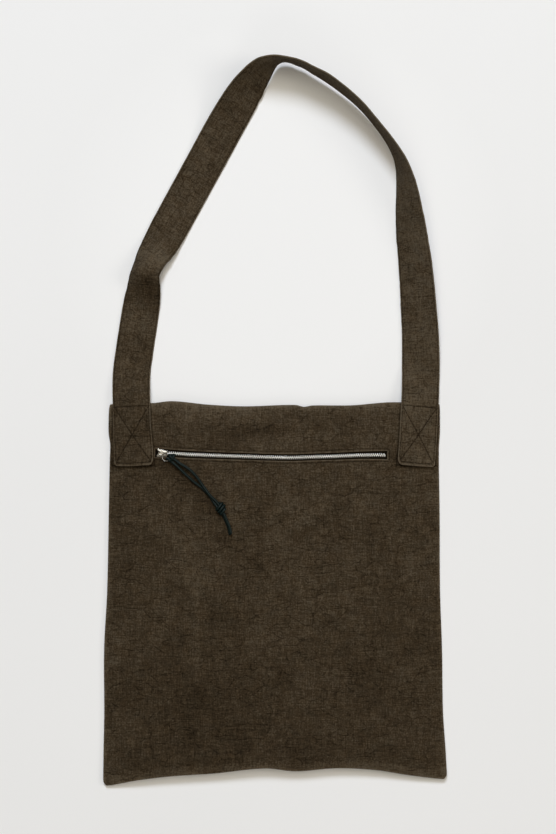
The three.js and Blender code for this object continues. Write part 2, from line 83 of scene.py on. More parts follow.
# Finer shapes that only the scene has
TAPE_INNER = 0.0021
THREAD = 0.0006
STITCH_LENGTH = 0.0026
STITCH_GAP = 0.0008
STRAP_STITCH_INSET = 0.002
ZIP_STITCH_OFFSET = 0.0026
ZIP_STITCH_END = 0.002
GROOVE = 0.00055
GROOVE_WIDTH = 0.0012
SEAM_WIDTH = 0.0006
EDGE_SEAM_FADE = 0.0004
PATCH_TOP = 0.018
PATCH_LENGTH = 0.072
PATCH_PUFF = 0.0007
END_LIFT = 0.0017
END_REACH = 0.007
KINK = 0.209
KINK_HEIGHT = 0.0028
BOTTOM_ROLL = 0.0028
BOTTOM_REACH = 0.016

# Fading: how much lighter the rims, the strap and the slot's edge are; the rims' upper halves carry a
# painted highlight too
RIM_FADE_AND_PAINTED_HIGHLIGHT = 0.9
STRAP_FADE = 0.24
SLOT_FADE = 0.35

# How fine the cloth meshes are
PANEL_STEP = 0.0019
BACK_STEP = 0.0034
STRAP_STEP = 0.0016
STRAP_COLUMN = 0.0009
PATCH_STEP = 0.0008
RIM_STEPS = 5


def metres(*rows):
    """Rows of millimetres as an array in metres."""
    return np.array(rows, float) / 1000


def table(columns, *rows, plain=""):
    """Rows of millimetres as one array in metres for each named column; the plain one stays as it is."""
    named = zip(columns.split(), zip(*rows))
    return {name: np.array(column, float) / (1 if name == plain else 1000) for name, column in named}


SIDE_EDGES = table(
    "y left right",
    (24, -179.5, 180.2), (18, -182.1, 180.8), (5, -183, 181), (-11, -183, 180.9), (-24, -181.3, 180),
    (-42, -181.8, 179.8), (-96, -182.8, 180.6), (-184, -184.6, 181.1), (-250, -188, 183.3),
    (-315, -187.8, 184.3), (-360, -188.6, 187.2), (-399, -189, 189.2),
)
TOP_EDGE = table(
    "x y",
    (-184, 20.5), (-135, 21.8), (-113, 24), (-74, 20.2), (-34, 18.3), (22, 19.8), (31.6, 17.6),
    (41, 19.2), (84, 19.4), (128, 22.8), (182, 20.7),
)
BOTTOM_EDGE = table(
    "x y lift",
    (-189, -398.5, 1), (-179, -397.6, 2), (-153, -391.9, 7), (-117, -387, 9.5), (-65, -383.3, 10),
    (-12, -377.6, 12), (23, -381, 10), (67, -377.7, 10), (110, -380, 8.5), (146, -385.9, 6),
    (181, -390.6, 3.5), (190, -391, 3),
)
ZIP_LINE = table(
    "x y",
    (-140, -33.2), (-118, -33.2), (-91, -34.7), (-38, -36.6), (14, -38), (40, -37.3), (67, -36.5),
    (97, -35.3), (131, -35.3),
)

# Soft folds of the front wall: middle, direction in degrees, half length, half width and height
FRONT_FOLDS = table(
    "x y turn long wide high",
    (-110, -118, 12, 70, 9, 0.7), (60, -160, -24, 80, 12, 0.9), (118, -215, -48, 60, 10, 0.8),
    (-60, -255, 30, 85, 14, -0.9), (72, -300, 18, 75, 12, 0.9), (-130, -320, 70, 50, 10, 0.8),
    (-20, -5, 4, 90, 9, 0.6),
    plain="turn",
)

# Painted light and shade along the front's longer folds, and larger patches in its colour, each along a
# line; fade: lighter above 0 and darker below it
FOLD_LIGHT_AND_SHADE_LINES = table(
    "x0 y0 x1 y1 width fade",
    (-86.6, -177.4, -86.6, -281.4, 3.5, 0.25), (-68, -193.8, -70.2, -259.5, 3, -0.2),
    (21.7, -128.1, 71, -89.8, 6, -0.18), (27.2, -106.2, 76.4, -67.9, 6, 0.1),
    (-137, -292.3, -65.9, -314.2, 16, -0.08), (-18.8, -246.3, 22.8, -292.3, 3, -0.3),
    (-47.2, -9.9, 10.8, -7.7, 7, -0.35), (38.1, -2.3, 54.5, -5.5, 5, -0.25),
    (-47.2, -136.9, -14.4, -161, 3, -0.25), (-184, -62.5, -184, -204.7, 8, 0.2),
    (-185, -341.6, -180.8, -385.3, 9, 0.25), (180.4, -347, 183.7, -379.9, 6, 0.25),
    plain="fade",
)

# Strap's middle line; roll: 0 lies flat, 90 stands on its inner edge; arch: rise of the middle over the
# two edges; lift: lower edge's height off the surface, a little less under the standing arch than in
# the CAD
STRAP_ROWS = table(
    "x y roll arch lift",
    (-155.6, -46, 0, 0, 0), (-156.4, -18, 0, 0, 0), (-157, 4, 0, 0, 0), (-157.3, 14, 0, 0, 0),
    (-157.6, 22, 0, 0, 0), (-157.8, 54, 0, 1, 0), (-154.5, 80, 0, 1.5, 0), (-150.4, 107, 0, 2, 0),
    (-147.8, 124, -1, 3, 0), (-144.4, 146, -7, 7.5, 0), (-141.6, 164, -15, 12, 0), (-135, 181, -12, 10, 0),
    (-126.6, 195, -6, 6, 0), (-115, 216.5, -1, 2, 0), (-95.9, 251.5, 0, 0, 0), (-74.2, 291, 2, 0, 0),
    (-52.2, 330.4, 12, 0, 0), (-31.4, 363.3, 33, 0, 1.5), (-12.5, 385.6, 60, 0, 4.5),
    (6, 395.4, 90, 0, 5.4), (27, 391, 91, 0, 5.6), (43, 382.6, 89, 0, 5.6), (59, 373.5, 87, 0, 5.4),
    (91.3, 347.6, 88, 0, 3.8), (114, 321.7, 88, 0, 1.5), (127.2, 303.4, 85, 0, 0.5),
    (136.3, 286.2, 78, 0, 0), (142.5, 261, 64, 0, 0), (147, 223, 46, 0, 0), (153.4, 172, 32, 0, 0),
    (156.6, 133, 25, 0, 0), (159.2, 93, 16, 0, 0), (159.8, 54, 5, 1, 0), (158.8, 22, 0, 0, 0),
    (158.2, 14, 0, 0, 0), (157.6, 4, 0, 0, 0), (156.5, -18, 0, 0, 0), (154.3, -46, 0, 0, 0),
    plain="roll",
)

# Leather lace: each run from the hitch through the knot to its loose end; rise: clear height under it
# where the hitch and the knot hold it up
LACE_ROUTES = {
    "pull_lace_upper": table(
        "x y rise",
        (-114.4, -37.1, 3.6), (-109.6, -40, 3.5), (-104, -44.2, 3.3), (-97.8, -47.8, 3.1),
        (-92.3, -51.9, 3), (-87.6, -56.6, 3), (-83.8, -61.3, 3.1), (-79.9, -67.1, 3.2), (-76, -72.6, 3.4),
        (-72.1, -78, 3.5), (-67.6, -82.6, 3.1), (-63.3, -86.9, 2.8), (-59, -93.6, 2.6),
        (-55.4, -100.4, 2.8), (-52.5, -106.9, 2.8), (-49.8, -113.9, 2.8), (-48.3, -120, 2.8),
    ),
    "pull_lace_lower": table(
        "x y rise",
        (-115.2, -40.6, 3.2), (-111.9, -43.2, 3), (-108, -46.5, 2.7), (-103.3, -50.8, 2.4),
        (-98.6, -55.4, 2), (-93.5, -60.1, 1.6), (-89.3, -63.9, 1.2), (-84.6, -67.6, 0.8), (-79.9, -71, 0.5),
        (-76, -75, 0.4), (-71.7, -79.8, 0.4), (-68.2, -85.2, 0.6), (-64.9, -89.6, 0.9),
        (-61.2, -95.2, 0.9), (-56.6, -101.2, 0.1), (-53.7, -107.5, 0), (-51, -114.5, 0), (-49.5, -121.2, 0),
    ),
}


def smoothstep(value, low, high):
    share = np.clip((value - low) / (high - low), 0, 1)
    return share * share * (3 - 2 * share)


def bump(distance, width):
    """1 at no distance, falling smoothly to nothing over a few widths."""
    return np.exp(-((distance / width) ** 2))


def hump(distance, reach):
    """Nothing at no distance, 1 at the reach, then falling slowly."""
    return distance / reach * np.exp(1 - distance / reach)


def through_table(rows, source, target):
    """A smooth function through a table's rows, reading one column against another."""
    order = np.argsort(rows[source])
    at = rows[source][order]
    value = rows[target][order]
    before = np.maximum(np.arange(len(at)) - 1, 0)
    after = np.minimum(np.arange(len(at)) + 1, len(at) - 1)
    slope = (value[after] - value[before]) / (at[after] - at[before])

    def read(place):
        inside = np.clip(place, at[0], at[-1])
        k = np.clip(np.searchsorted(at, inside, side="right") - 1, 0, len(at) - 2)
        span = at[k + 1] - at[k]
        t = (inside - at[k]) / span
        bend = t * (1 - t) * span * ((1 - t) * slope[k] - t * slope[k + 1])
        return value[k] + (value[k + 1] - value[k]) * t * t * (3 - 2 * t) + bend

    return read


left_edge = through_table(SIDE_EDGES, "y", "left")
right_edge = through_table(SIDE_EDGES, "y", "right")
top_edge = through_table(TOP_EDGE, "x", "y")
bottom_edge = through_table(BOTTOM_EDGE, "x", "y")
bottom_lift = through_table(BOTTOM_EDGE, "x", "lift")
zip_line = through_table(ZIP_LINE, "x", "y")


def corner_inset(above):
    """How far a round corner draws the side edge in at a height above the corner."""
    short = np.maximum(CORNER_RADIUS - np.maximum(above, 0), 0)
    return CORNER_RADIUS - np.sqrt(CORNER_RADIUS**2 - short**2)


def left_side(y):
    return left_edge(y) + corner_inset(y - BOTTOM_EDGE["y"][0])


def right_side(y):
    return right_edge(y) - corner_inset(y - BOTTOM_EDGE["y"][-1])


def share_across(x, y):
    return np.clip((x - left_side(y)) / (right_side(y) - left_side(y)), 0, 1)


def share_up(x, y):
    return np.clip((y - bottom_edge(x)) / (top_edge(x) - bottom_edge(x)), 0, 1)


def back_under(x, y):
    """Underside of the back wall: flat on the surface, curling up along the bottom seam."""
    near = np.maximum(1 - np.maximum(y - bottom_edge(x), 0) / CURL_LENGTH, 0)
    return bottom_lift(x) * near * near


def fold_height(x, y):
    total = np.zeros(np.broadcast(x, y).shape)
    for fold_x, fold_y, degrees, length, width, height in zip(*FRONT_FOLDS.values()):
        turn = math.radians(degrees)
        along = (x - fold_x) * math.cos(turn) + (y - fold_y) * math.sin(turn)
        across = (y - fold_y) * math.cos(turn) - (x - fold_x) * math.sin(turn)
        total += height * bump(along, length) * bump(across, width)
    return total


def front_crown(x, y):
    """How freely the front wall rises: 0 at the side and bottom seams, 1 away from them."""
    sides = 1 - np.abs(2 * share_across(x, y) - 1) ** SIDE_CROWN
    return sides * (1 - (1 - share_up(x, y)) ** BOTTOM_CROWN)


def front_under(x, y):
    mouth = 1 - (1 - MOUTH_SHARE) * share_up(x, y) ** MOUTH_CROWN
    rise = (CAVITY * mouth + fold_height(x, y)) * front_crown(x, y)
    return back_under(x, y) + WALL + GAP + rise


def front_thickness(x, y):
    hem_start = top_edge(x) - HEM_DEPTH
    u = share_across(x, y)
    return WALL + HEM_EXTRA * smoothstep(y, hem_start, hem_start + HEM_STEP) * u * (1 - u) * 4


def front_top(x, y):
    return front_under(x, y) + front_thickness(x, y)


def slot_half(x):
    middle = (ZIP_LEFT + ZIP_RIGHT) / 2
    share = np.clip(np.abs(x - middle) / (ZIP_RIGHT - middle), 0, 1)
    return SLOT_HALF_MID + (SLOT_HALF_END - SLOT_HALF_MID) * share**3


def from_slot(x, y):
    """Distance outside the zip slot's edge."""
    beside = np.maximum(np.maximum(ZIP_LEFT - x, x - ZIP_RIGHT), 0)
    above = np.maximum(np.abs(y - zip_line(x)) - slot_half(x), 0)
    return np.hypot(beside, above)


def make_noise(seed):
    """Smooth seeded noise of two coordinates, about -1 to 1, with features about one unit across."""
    size = 256
    angles = np.random.default_rng(seed).uniform(0, 2 * math.pi, (size, size))
    slope_x = np.cos(angles)
    slope_y = np.sin(angles)

    def ease(t):
        return t * t * t * (t * (6 * t - 15) + 10)

    def noise(x, y):
        column = np.floor(x).astype(int)
        row = np.floor(y).astype(int)
        dx = x - column
        dy = y - row

        def corner(right, up):
            at = ((column + right) % size, (row + up) % size)
            return slope_x[at] * (dx - right) + slope_y[at] * (dy - up)

        low = corner(0, 0) + (corner(1, 0) - corner(0, 0)) * ease(dx)
        high = corner(0, 1) + (corner(1, 1) - corner(0, 1)) * ease(dx)
        return (low + (high - low) * ease(dy)) * 1.5

    return noise


swell_noise = make_noise(3)
crease_noise = make_noise(5)
bend_noise = make_noise(8)
patch_noise = make_noise(13)
pucker_noise = make_noise(21)

# How far apart the coarse and the fine creases are, and how large their patches
COARSE_CREASE = 0.03
FINE_CREASE = 0.012
CREASE_PATCH = 0.06


def creases(x, y, size):
    """Sharp-crested washed-in wrinkles about `size` apart, from 0 in the flats to 1 on the crests."""
    bend = 0.6 * bend_noise(x / size / 2, y / size / 2)
    ridge = np.clip(1 - np.abs(crease_noise(x / size + bend, y / size - bend)) * 4.2, 0, 1)
    return ridge * ridge * (3 - 2 * ridge)


def crease_sign(x, y):
    """Which way the creases fold, from -1 for valleys to 1 for ridges."""
    return np.clip(2.5 * patch_noise(x / COARSE_CREASE + 7, y / COARSE_CREASE + 7), -1, 1)


def crease_pattern(x, y):
    """Coarse and fine creases, stronger in patches, from -1 in valleys to 1 on ridges."""
    patch = smoothstep(patch_noise(x / CREASE_PATCH, y / CREASE_PATCH), -0.4, 0.4)
    coarse = creases(x, y, COARSE_CREASE) * crease_sign(x, y) * (0.35 + 0.65 * patch)
    fine = creases(x + 3, y + 3, FINE_CREASE) * crease_sign(y, x) * (0.2 + 0.8 * patch)
    return coarse, fine


def crumple(x, y):
    """Height of washed linen's wrinkles: soft swells, and patches of sharper fine creases."""
    swell = 0.0007 * swell_noise(x / 0.05, y / 0.042) + 0.0003 * swell_noise(x / 0.017 + 5, y / 0.017)
    coarse, fine = crease_pattern(x, y)
    return swell + 0.0007 * coarse + 0.00032 * fine


def seam_pucker(along, away, seed_row):
    """Small gathers across a seam: nothing on the seam itself, most a few millimetres from it."""
    return 0.0003 * hump(away, 0.005) * pucker_noise(along / 0.008, seed_row + away / 0.03)


def front_relief(x, y):
    """What the finished front cloth adds to the CAD wall's height."""
    left = np.maximum(x - left_side(y), 0)
    right = np.maximum(right_side(y) - x, 0)
    low = np.maximum(y - bottom_edge(x), 0)
    high = np.maximum(top_edge(x) - y, 0)
    slot = from_slot(x, y)
    puckers = seam_pucker(y, left, 1) + seam_pucker(y, right, 2) + seam_pucker(x, low, 3)
    puckers += 0.6 * seam_pucker(x, slot, 4) + 0.5 * seam_pucker(x, high, 5)
    free = smoothstep(np.minimum(np.minimum(left, right), low), 0, 0.02)
    flat = smoothstep(slot, 0.001, 0.012)
    lip = 0.0003 * bump(slot - 0.0008, 0.0011) - GROOVE * bump(slot - ZIP_STITCH_OFFSET, 0.0008)
    roll = BOTTOM_ROLL * hump(low, BOTTOM_REACH) * smoothstep(free, 0, 1)
    hem = -0.0012 * bump(high, 0.0045)
    return crumple(x, y) * free * flat + puckers + roll + hem + lip * (slot > 0)


def front_surface(x, y):
    """Top of the finished front cloth."""
    return front_top(x, y) + front_relief(x, y)


def strap_support(x, y):
    """Height that the strap lies on: the front wall, and past the hem a slope down to the surface."""
    past = y - top_edge(x)
    wall = front_top(x, np.minimum(y, top_edge(x))) + GAP
    return wall * (1 - smoothstep(past, 0, STRAP_RAMP))


def spread(start, stop, step, ends=0.5):
    """Places from start to stop, about a step apart and closer together near both ends."""
    count = max(round(abs(stop - start) / step), 3)
    even = np.linspace(0, 1, count + 1)
    return start + (stop - start) * (even - ends * np.sin(2 * math.pi * even) / (2 * math.pi))


def grid_faces(rows, columns):
    """Quads of a grid of points, facing up where rows go up and columns go right."""
    index = np.arange(rows * columns).reshape(rows, columns)
    return np.stack([index[:-1, :-1], index[:-1, 1:], index[1:, 1:], index[1:, :-1]], axis=-1)


def unit(vectors):
    return vectors / np.maximum(np.linalg.norm(vectors, axis=-1, keepdims=True), 1e-12)


def vertex_normals(points, faces):
    a, b, c, d = points[faces.T]
    normals = np.zeros_like(points)
    for corner in faces.T:
        np.add.at(normals, corner, np.cross(c - a, d - b))
    return unit(normals)


def free_edges(faces):
    """Edges that only one quad has, in that quad's direction."""
    edges = np.concatenate([faces[:, (i, (i + 1) % 4)] for i in range(4)])
    keys = np.sort(edges, axis=1)
    _, inverse, counts = np.unique(keys, axis=0, return_inverse=True, return_counts=True)
    return edges[counts[inverse.ravel()] == 1]


def shell(points, faces, thick):
    """A closed cloth wall round a surface, its free edges rounded over.
    Gives its points, its faces, and the surface point that each of its points belongs to."""
    normals = vertex_normals(points, faces)
    half = np.broadcast_to(thick, len(points))[:, None] / 2
    edges = free_edges(faces)
    outward = np.zeros_like(points)
    along = points[edges[:, 1]] - points[edges[:, 0]]
    for at in edges.T:
        np.add.at(outward, at, unit(np.cross(along, normals[at])))
    rim = np.unique(edges)
    layers = [points + normals * half, points - normals * half]
    origin = [np.arange(len(points)), np.arange(len(points))]
    rings = [rim]
    for step in range(1, RIM_STEPS + 1):
        angle = math.pi * step / (RIM_STEPS + 1)
        turned = normals[rim] * math.cos(angle) + unit(outward[rim]) * math.sin(angle)
        rings.append(2 * len(points) + (step - 1) * len(rim) + np.arange(len(rim)))
        layers.append(points[rim] + turned * half[rim])
        origin.append(rim)
    rings.append(len(points) + rim)
    walls = [faces, faces[:, ::-1] + len(points)]
    start, end = np.searchsorted(rim, edges.T)
    for upper, lower in zip(rings[:-1], rings[1:]):
        walls.append(np.stack([upper[end], upper[start], lower[start], lower[end]], axis=1))
    return np.concatenate(layers), np.concatenate(walls), np.concatenate(origin)


def add_piece(name, points, faces, material, **attributes):
    """A smooth mesh object, with one value or vector for each point in every named attribute."""
    mesh = bpy.data.meshes.new(name)
    mesh.from_pydata(np.asarray(points).tolist(), [], [list(face) for face in faces])
    mesh.shade_smooth()
    for key, values in attributes.items():
        values = np.asarray(values, float)
        kind, field = ("FLOAT", "value") if values.ndim == 1 else ("FLOAT_VECTOR", "vector")
        mesh.attributes.new(key, kind, "POINT").data.foreach_set(field, values.ravel())
    mesh.materials.append(material)
    piece = bpy.data.objects.new(name, mesh)
    bpy.context.scene.collection.objects.link(piece)
    return piece


def dress(piece, slot, *nodes):
    """The piece moves with the bag and stands for those CAD nodes, which are hidden; slot is not used."""
    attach(piece, "root")
    if nodes:
        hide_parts(*nodes)


def node_box(name):
    """A CAD node's lowest and highest corners."""
    return (np.array(corner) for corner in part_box(name))


def joined(parts):
    """Several (points, faces) as one."""
    points = []
    faces = []
    total = 0
    for part_points, part_faces in parts:
        points.append(np.asarray(part_points))
        faces += [[corner + total for corner in face] for face in part_faces]
        total += len(part_points)
    return np.concatenate(points), faces


def catmull_rom(points, t, power):
    """Points at shares t along a Catmull-Rom curve: power 0 is a uniform one, 0.5 a centripetal one."""
    padded = np.vstack([2 * points[0] - points[1], points, 2 * points[-1] - points[-2]])
    k = np.minimum((t * (len(points) - 1)).astype(int), len(points) - 2)
    w = (t * (len(points) - 1) - k)[:, None]
    a, b, c, d = (padded[k + i] for i in range(4))
    spans = (b - a, c - b, d - c)
    ab, bc, cd = (np.linalg.norm(span, axis=1, keepdims=True) ** power for span in spans)
    leave = ((b - a) / ab - (c - a) / (ab + bc) + (c - b) / bc) * bc
    arrive = ((c - b) / bc - (d - b) / (bc + cd) + (d - c) / cd) * bc
    square = -3 * b + 3 * c - 2 * leave - arrive
    cube = 2 * b - 2 * c + leave + arrive
    return b + leave * w + square * w**2 + cube * w**3


def run_lengths(path):
    """Distance along a path at each of its points."""
    return np.concatenate([[0], np.cumsum(np.linalg.norm(np.diff(path, axis=0), axis=1))])


def along_path(places, lengths, values):
    """A path's points, or its normals, read at other distances along it."""
    return np.stack([np.interp(places, lengths, column) for column in values.T], axis=1)


def smooth_path(points, step):
    """A path through a few points, smoothed and taken at even distances."""
    points = np.asarray(points, float)
    path = catmull_rom(points, np.linspace(0, 1, 40 * len(points)), 0.5)
    lengths = run_lengths(path)
    count = max(round(lengths[-1] / step), 2)
    return along_path(np.linspace(0, lengths[-1], count + 1), lengths, path)


def line_distance(x, y, start, end):
    """Signed distance of points from a straight line between two points."""
    span = np.subtract(end, start)
    dx = x - start[0]
    dy = y - start[1]
    share = np.clip((dx * span[0] + dy * span[1]) / (span @ span), 0, 1)
    return np.sign(dx * span[1] - dy * span[0]) * np.hypot(dx - share * span[0], dy - share * span[1])


def lofted(rings):
    """Rings of points joined by quads and closed at both ends, as points and faces."""
    index = np.arange(rings.shape[0] * rings.shape[1]).reshape(rings.shape[:2])
    ahead = np.roll(index, -1, axis=1)
    quads = np.stack([index[:-1], index[1:], ahead[1:], ahead[:-1]], axis=-1).reshape(-1, 4)
    return rings.reshape(-1, 3), quads.tolist() + [index[0].tolist(), index[-1, ::-1].tolist()]


def tube(path, half_width, half_height, sides=14, up=None, cap_steps=4):
    """An oval tube along a path with rounded ends. Half sizes are one number, or one for each point;
    `up` is the direction of its height where the path alone doesn't settle it."""
    path = np.asarray(path, float)
    tangent = unit(np.gradient(path, axis=0))
    turn = np.linspace(0, math.pi / 2, cap_steps + 1)[1:]
    shrink = np.maximum(np.cos(turn), 0.02)
    wide, high = (np.broadcast_to(half, len(path)).astype(float) for half in (half_width, half_height))
    start = path[0] - tangent[0] * (np.sin(turn)[::-1, None] * wide[0])
    end = path[-1] + tangent[-1] * (np.sin(turn)[:, None] * wide[-1])
    path = np.concatenate([start, path, end])
    tangent = np.pad(tangent, ((cap_steps, cap_steps), (0, 0)), mode="edge")
    capped = ([half[0] * shrink[::-1], half, half[-1] * shrink] for half in (wide, high))
    wide, high = (np.concatenate(sizes) for sizes in capped)
    side = unit(np.cross(tangent, (0.0, 0.0, 1.0) if up is None else up))
    for i in range(1, len(side) if up is None else 1):
        side[i] = unit(side[i - 1] - tangent[i] * np.dot(side[i - 1], tangent[i]))
    over = np.cross(side, tangent)
    angle = np.linspace(0, 2 * math.pi, sides, endpoint=False)
    ring = side[:, None] * (np.cos(angle)[:, None] * wide[:, None, None])
    return lofted(path[:, None] + ring + over[:, None] * (np.sin(angle)[:, None] * high[:, None, None]))


# One stitch: places along it, its rise in thread widths and its girth
STITCH_SHARES = np.array([0, 0.2, 0.5, 0.8, 1])
STITCH_RISE = np.array([-0.4, 0.15, 0.35, 0.15, -0.4]) * THREAD
STITCH_GIRTH = np.array([0.35, 0.9, 1, 0.9, 0.35]) * THREAD / 2


def stitch_row(line, normals):
    """Thread stitches along a line on a surface, each one arching out of the cloth and back into it."""
    lengths = run_lengths(line)
    pitch = STITCH_LENGTH + STITCH_GAP
    count = int((lengths[-1] + STITCH_GAP) / pitch)
    start = (lengths[-1] - count * pitch + STITCH_GAP) / 2
    parts = []
    for i in range(count):
        at = start + i * pitch + STITCH_SHARES * STITCH_LENGTH
        normal = along_path(at, lengths, normals)
        path = along_path(at, lengths, line) + normal * STITCH_RISE[:, None]
        parts.append(tube(path, STITCH_GIRTH, STITCH_GIRTH * 0.8, sides=6, up=normal[2], cap_steps=1))
    return joined(parts)


# Material helpers
class Field:
    """A value over a surface: one output of a node, with sums and products made by further nodes."""

    def __init__(self, tree, socket):
        self.tree = tree
        self.socket = socket

    def maths(self, operation, *others):
        return node(self.tree, "Math", dict(enumerate((self, *others))), operation=operation)

    def __add__(self, other):
        return self.maths("ADD", other)

    def __mul__(self, other):
        return self.maths("MULTIPLY", other)


def node(tree, kind, inputs, output=0, **settings):
    """One output of a new node, whose inputs are values or other nodes' outputs."""
    made = tree.nodes.new("ShaderNode" + kind)
    for key, value in settings.items():
        setattr(made, key, value)
    for key, value in inputs.items():
        if isinstance(value, Field):
            tree.links.new(value.socket, made.inputs[key])
        else:
            made.inputs[key].default_value = value
    return Field(tree, made.outputs[output])


def attribute(tree, name, output):
    return node(tree, "Attribute", {}, output, attribute_name=name)


def scaled(vector, factors):
    return node(vector.tree, "VectorMath", {0: vector, 1: factors}, operation="MULTIPLY")


def part_of(vector, axis):
    return node(vector.tree, "SeparateXYZ", {0: vector}, axis)


def noise_of(vector, scale, detail=2.0, roughness=0.5, distortion=0.0):
    inputs = {"Vector": vector, "Scale": scale, "Detail": detail, "Roughness": roughness}
    return node(vector.tree, "TexNoise", {**inputs, "Distortion": distortion})


def eased(value, low, high, start=0.0, stop=1.0):
    """Goes smoothly from start to stop while the value goes from low to high."""
    inputs = {0: value, 1: low, 2: high, 3: start, 4: stop}
    return node(value.tree, "MapRange", inputs, interpolation_type="SMOOTHSTEP")


def weighted(start, *terms):
    """start plus each (value around a half) times its weight."""
    total = start
    for value, weight in terms:
        if weight:
            total = (value + -0.5) * weight + total
    return total


def ramp(factor, *stops):
    colours = node(factor.tree, "ValToRGB", {0: factor})
    elements = colours.socket.node.color_ramp.elements
    while len(elements) < len(stops):
        elements.new(0.5)
    for element, (place, colour) in zip(elements, stops):
        element.position = place
        element.color = (*colour, 1)
    return colours


def new_material(name, specular=0.5, metallic=0.0):
    material = bpy.data.materials.new(name)
    material.use_nodes = True
    shader = material.node_tree.nodes["Principled BSDF"]
    shader.inputs["Specular IOR Level"].default_value = specular
    shader.inputs["Metallic"].default_value = metallic
    return material


def connect(material, colour, roughness, height, distance):
    tree = material.node_tree
    normal = node(tree, "Bump", {"Height": height, "Distance": distance, "Strength": 0.8})
    shader = tree.nodes["Principled BSDF"]
    for key, value in (("Base Color", colour), ("Roughness", roughness), ("Normal", normal)):
        tree.links.new(value.socket, shader.inputs[key])
    return material


def crease_lines(cloth, scale, turn, width):
    """Thin broken wrinkle lines, 1 along their middles, and the shade of the flats between them; scale is
    in wrinkles to a metre."""
    tree = cloth.tree
    inputs = {"Vector": cloth, "Rotation": (0, 0, math.radians(turn)), "Scale": (1, 1.9, 1)}
    turned = node(tree, "Mapping", inputs)
    sway = node(tree, "TexNoise", {"Vector": turned, "Scale": scale * 2.5, "Detail": 2.0}, "Color")
    reach = (0.35 / scale,) * 3
    bent = node(tree, "VectorMath", {0: sway, 1: reach, 2: turned}, operation="MULTIPLY_ADD")
    cells = {"Vector": bent, "Scale": scale}
    edges = node(tree, "TexVoronoi", cells, "Distance", feature="DISTANCE_TO_EDGE", voronoi_dimensions="2D")
    flats = node(tree, "TexVoronoi", cells, "Color", feature="F1", voronoi_dimensions="2D")
    shown = eased(noise_of(turned, scale * 0.7), 0.48, 0.64)
    return eased(edges, 0.0, width * scale, 1.0, 0.0) * shown, flats


# Linen's noises: stretch along x, y and z, detail, roughness and distortion, then their weights in the
# tone, in the height and in the dullness
LINEN_NOISES = {
    "marble": ((26, 26, 26), 6, 0.62, 0.5, 0.3, 0, 0.1),
    "blotch": ((7, 7, 7), 3, 0.5, 0, 0.4, 0, 0),
    "weft": ((90, 800, 1), 2, 0.6, 0, 0.68, 0.5, 0),
    "warp": ((800, 90, 1), 2, 0.6, 0, 0.68, 0.5, 0),
    "fleck": ((260, 260, 260), 3, 0.65, 0, 0.36, 0, 0),
    "grain": ((520, 520, 520), 3, 0.7, 0, 1.0, 0.35, 0.15),
    "streak": ((35, 230, 1), 2, 0.5, 0, 0.24, 0, 0),
    "ladder": ((230, 35, 1), 2, 0.5, 0, 0.3, 0, 0),
}

# Linen's wrinkle lines: how many to a metre, their direction in degrees and their width; they are dented
# and darkened with painted shade
LINEN_WRINKLES = ((24.0, 48, 0.0015), (50.0, 34, 0.0014), (64.0, -28, 0.0013))
COOL_TINT = (0.955, 1, 1.06)
WARM_TINT = (1.045, 1, 0.94)


def linen_material(name, dark, middle, light, thread_width=0.0008):
    """Washed plain-weave linen: crossing threads with slubs, marbled colour, lighter worn edges, painted
    light and shade, thin wrinkles with painted shade along them, and dark stitched lines."""
    material = new_material(name, specular=0.05)
    tree = material.node_tree
    cloth = attribute(tree, "cloth", "Vector")
    faded_and_painted_light = attribute(tree, "wear", "Fac")
    seam = attribute(tree, "seam", "Fac") * (1 / SEAM_WIDTH)
    sewn_line_and_painted_shade = (seam * seam * -1.0).maths("EXPONENT")
    over, under = ((part_of(cloth, axis) * (math.pi / thread_width)).maths("SINE") for axis in (0, 1))
    weave = over * under * 0.5 + 0.5
    tone = weighted(0.5, (weave, 0.12))
    height = weighted(0.5, (weave, 0.55))
    roughness = 0.86
    for stretch, detail, rough, distortion, shade, relief, dullness in LINEN_NOISES.values():
        value = noise_of(scaled(cloth, stretch), 1.0, detail, rough, distortion)
        tone = weighted(tone, (value, shade))
        height = weighted(height, (value, relief))
        roughness = weighted(roughness, (value, dullness))
    wrinkles = 0.0
    for scale, turn, width in LINEN_WRINKLES:
        lines, flats = crease_lines(cloth, scale, turn, width)
        wrinkles = lines.maths("MAXIMUM", wrinkles)
        tone = weighted(tone, (flats, 0.06))
    # Painted shade along the wrinkle lines; stitched lines darker, and on the front a painted shade line
    # round the strap's ends
    tone = tone + faded_and_painted_light * 0.4 + wrinkles * -0.19 + sewn_line_and_painted_shade * -0.3
    height = height + wrinkles * -1.5 + sewn_line_and_painted_shade * -0.8
    plain = ramp(tone, (0.05, dark), (0.5, middle), (1.0, light))
    tint = ramp(noise_of(cloth, 70.0, 4.0, 0.75), (0.3, COOL_TINT), (0.7, WARM_TINT))
    return connect(material, scaled(plain, tint), roughness, height, 0.00035)


def tape_material():
    """Close herringbone zip tape."""
    material = new_material("zip_tape", specular=0.05)
    cloth = attribute(material.node_tree, "cloth", "Vector")
    slant = part_of(cloth, 0) + part_of(cloth, 1).maths("PINGPONG", 0.0016)
    ribs = (slant * (2 * math.pi / 0.0009)).maths("SINE") * 0.5
    grain = noise_of(cloth, 900.0, 2.0, 0.6)
    shade = noise_of(cloth, 40.0, 3.0, 0.6)
    tone = weighted(0.45, (ribs, 0.25), (grain, 0.35), (shade, 0.3))
    colour = ramp(tone, (0.0, (0.005, 0.0032, 0.0013)), (1.0, (0.020, 0.0132, 0.006)))
    height = weighted(0.5, (ribs, 0.6), (grain, 0.3))
    return connect(material, colour, weighted(0.85, (grain, 0.15)), height, 0.0002)


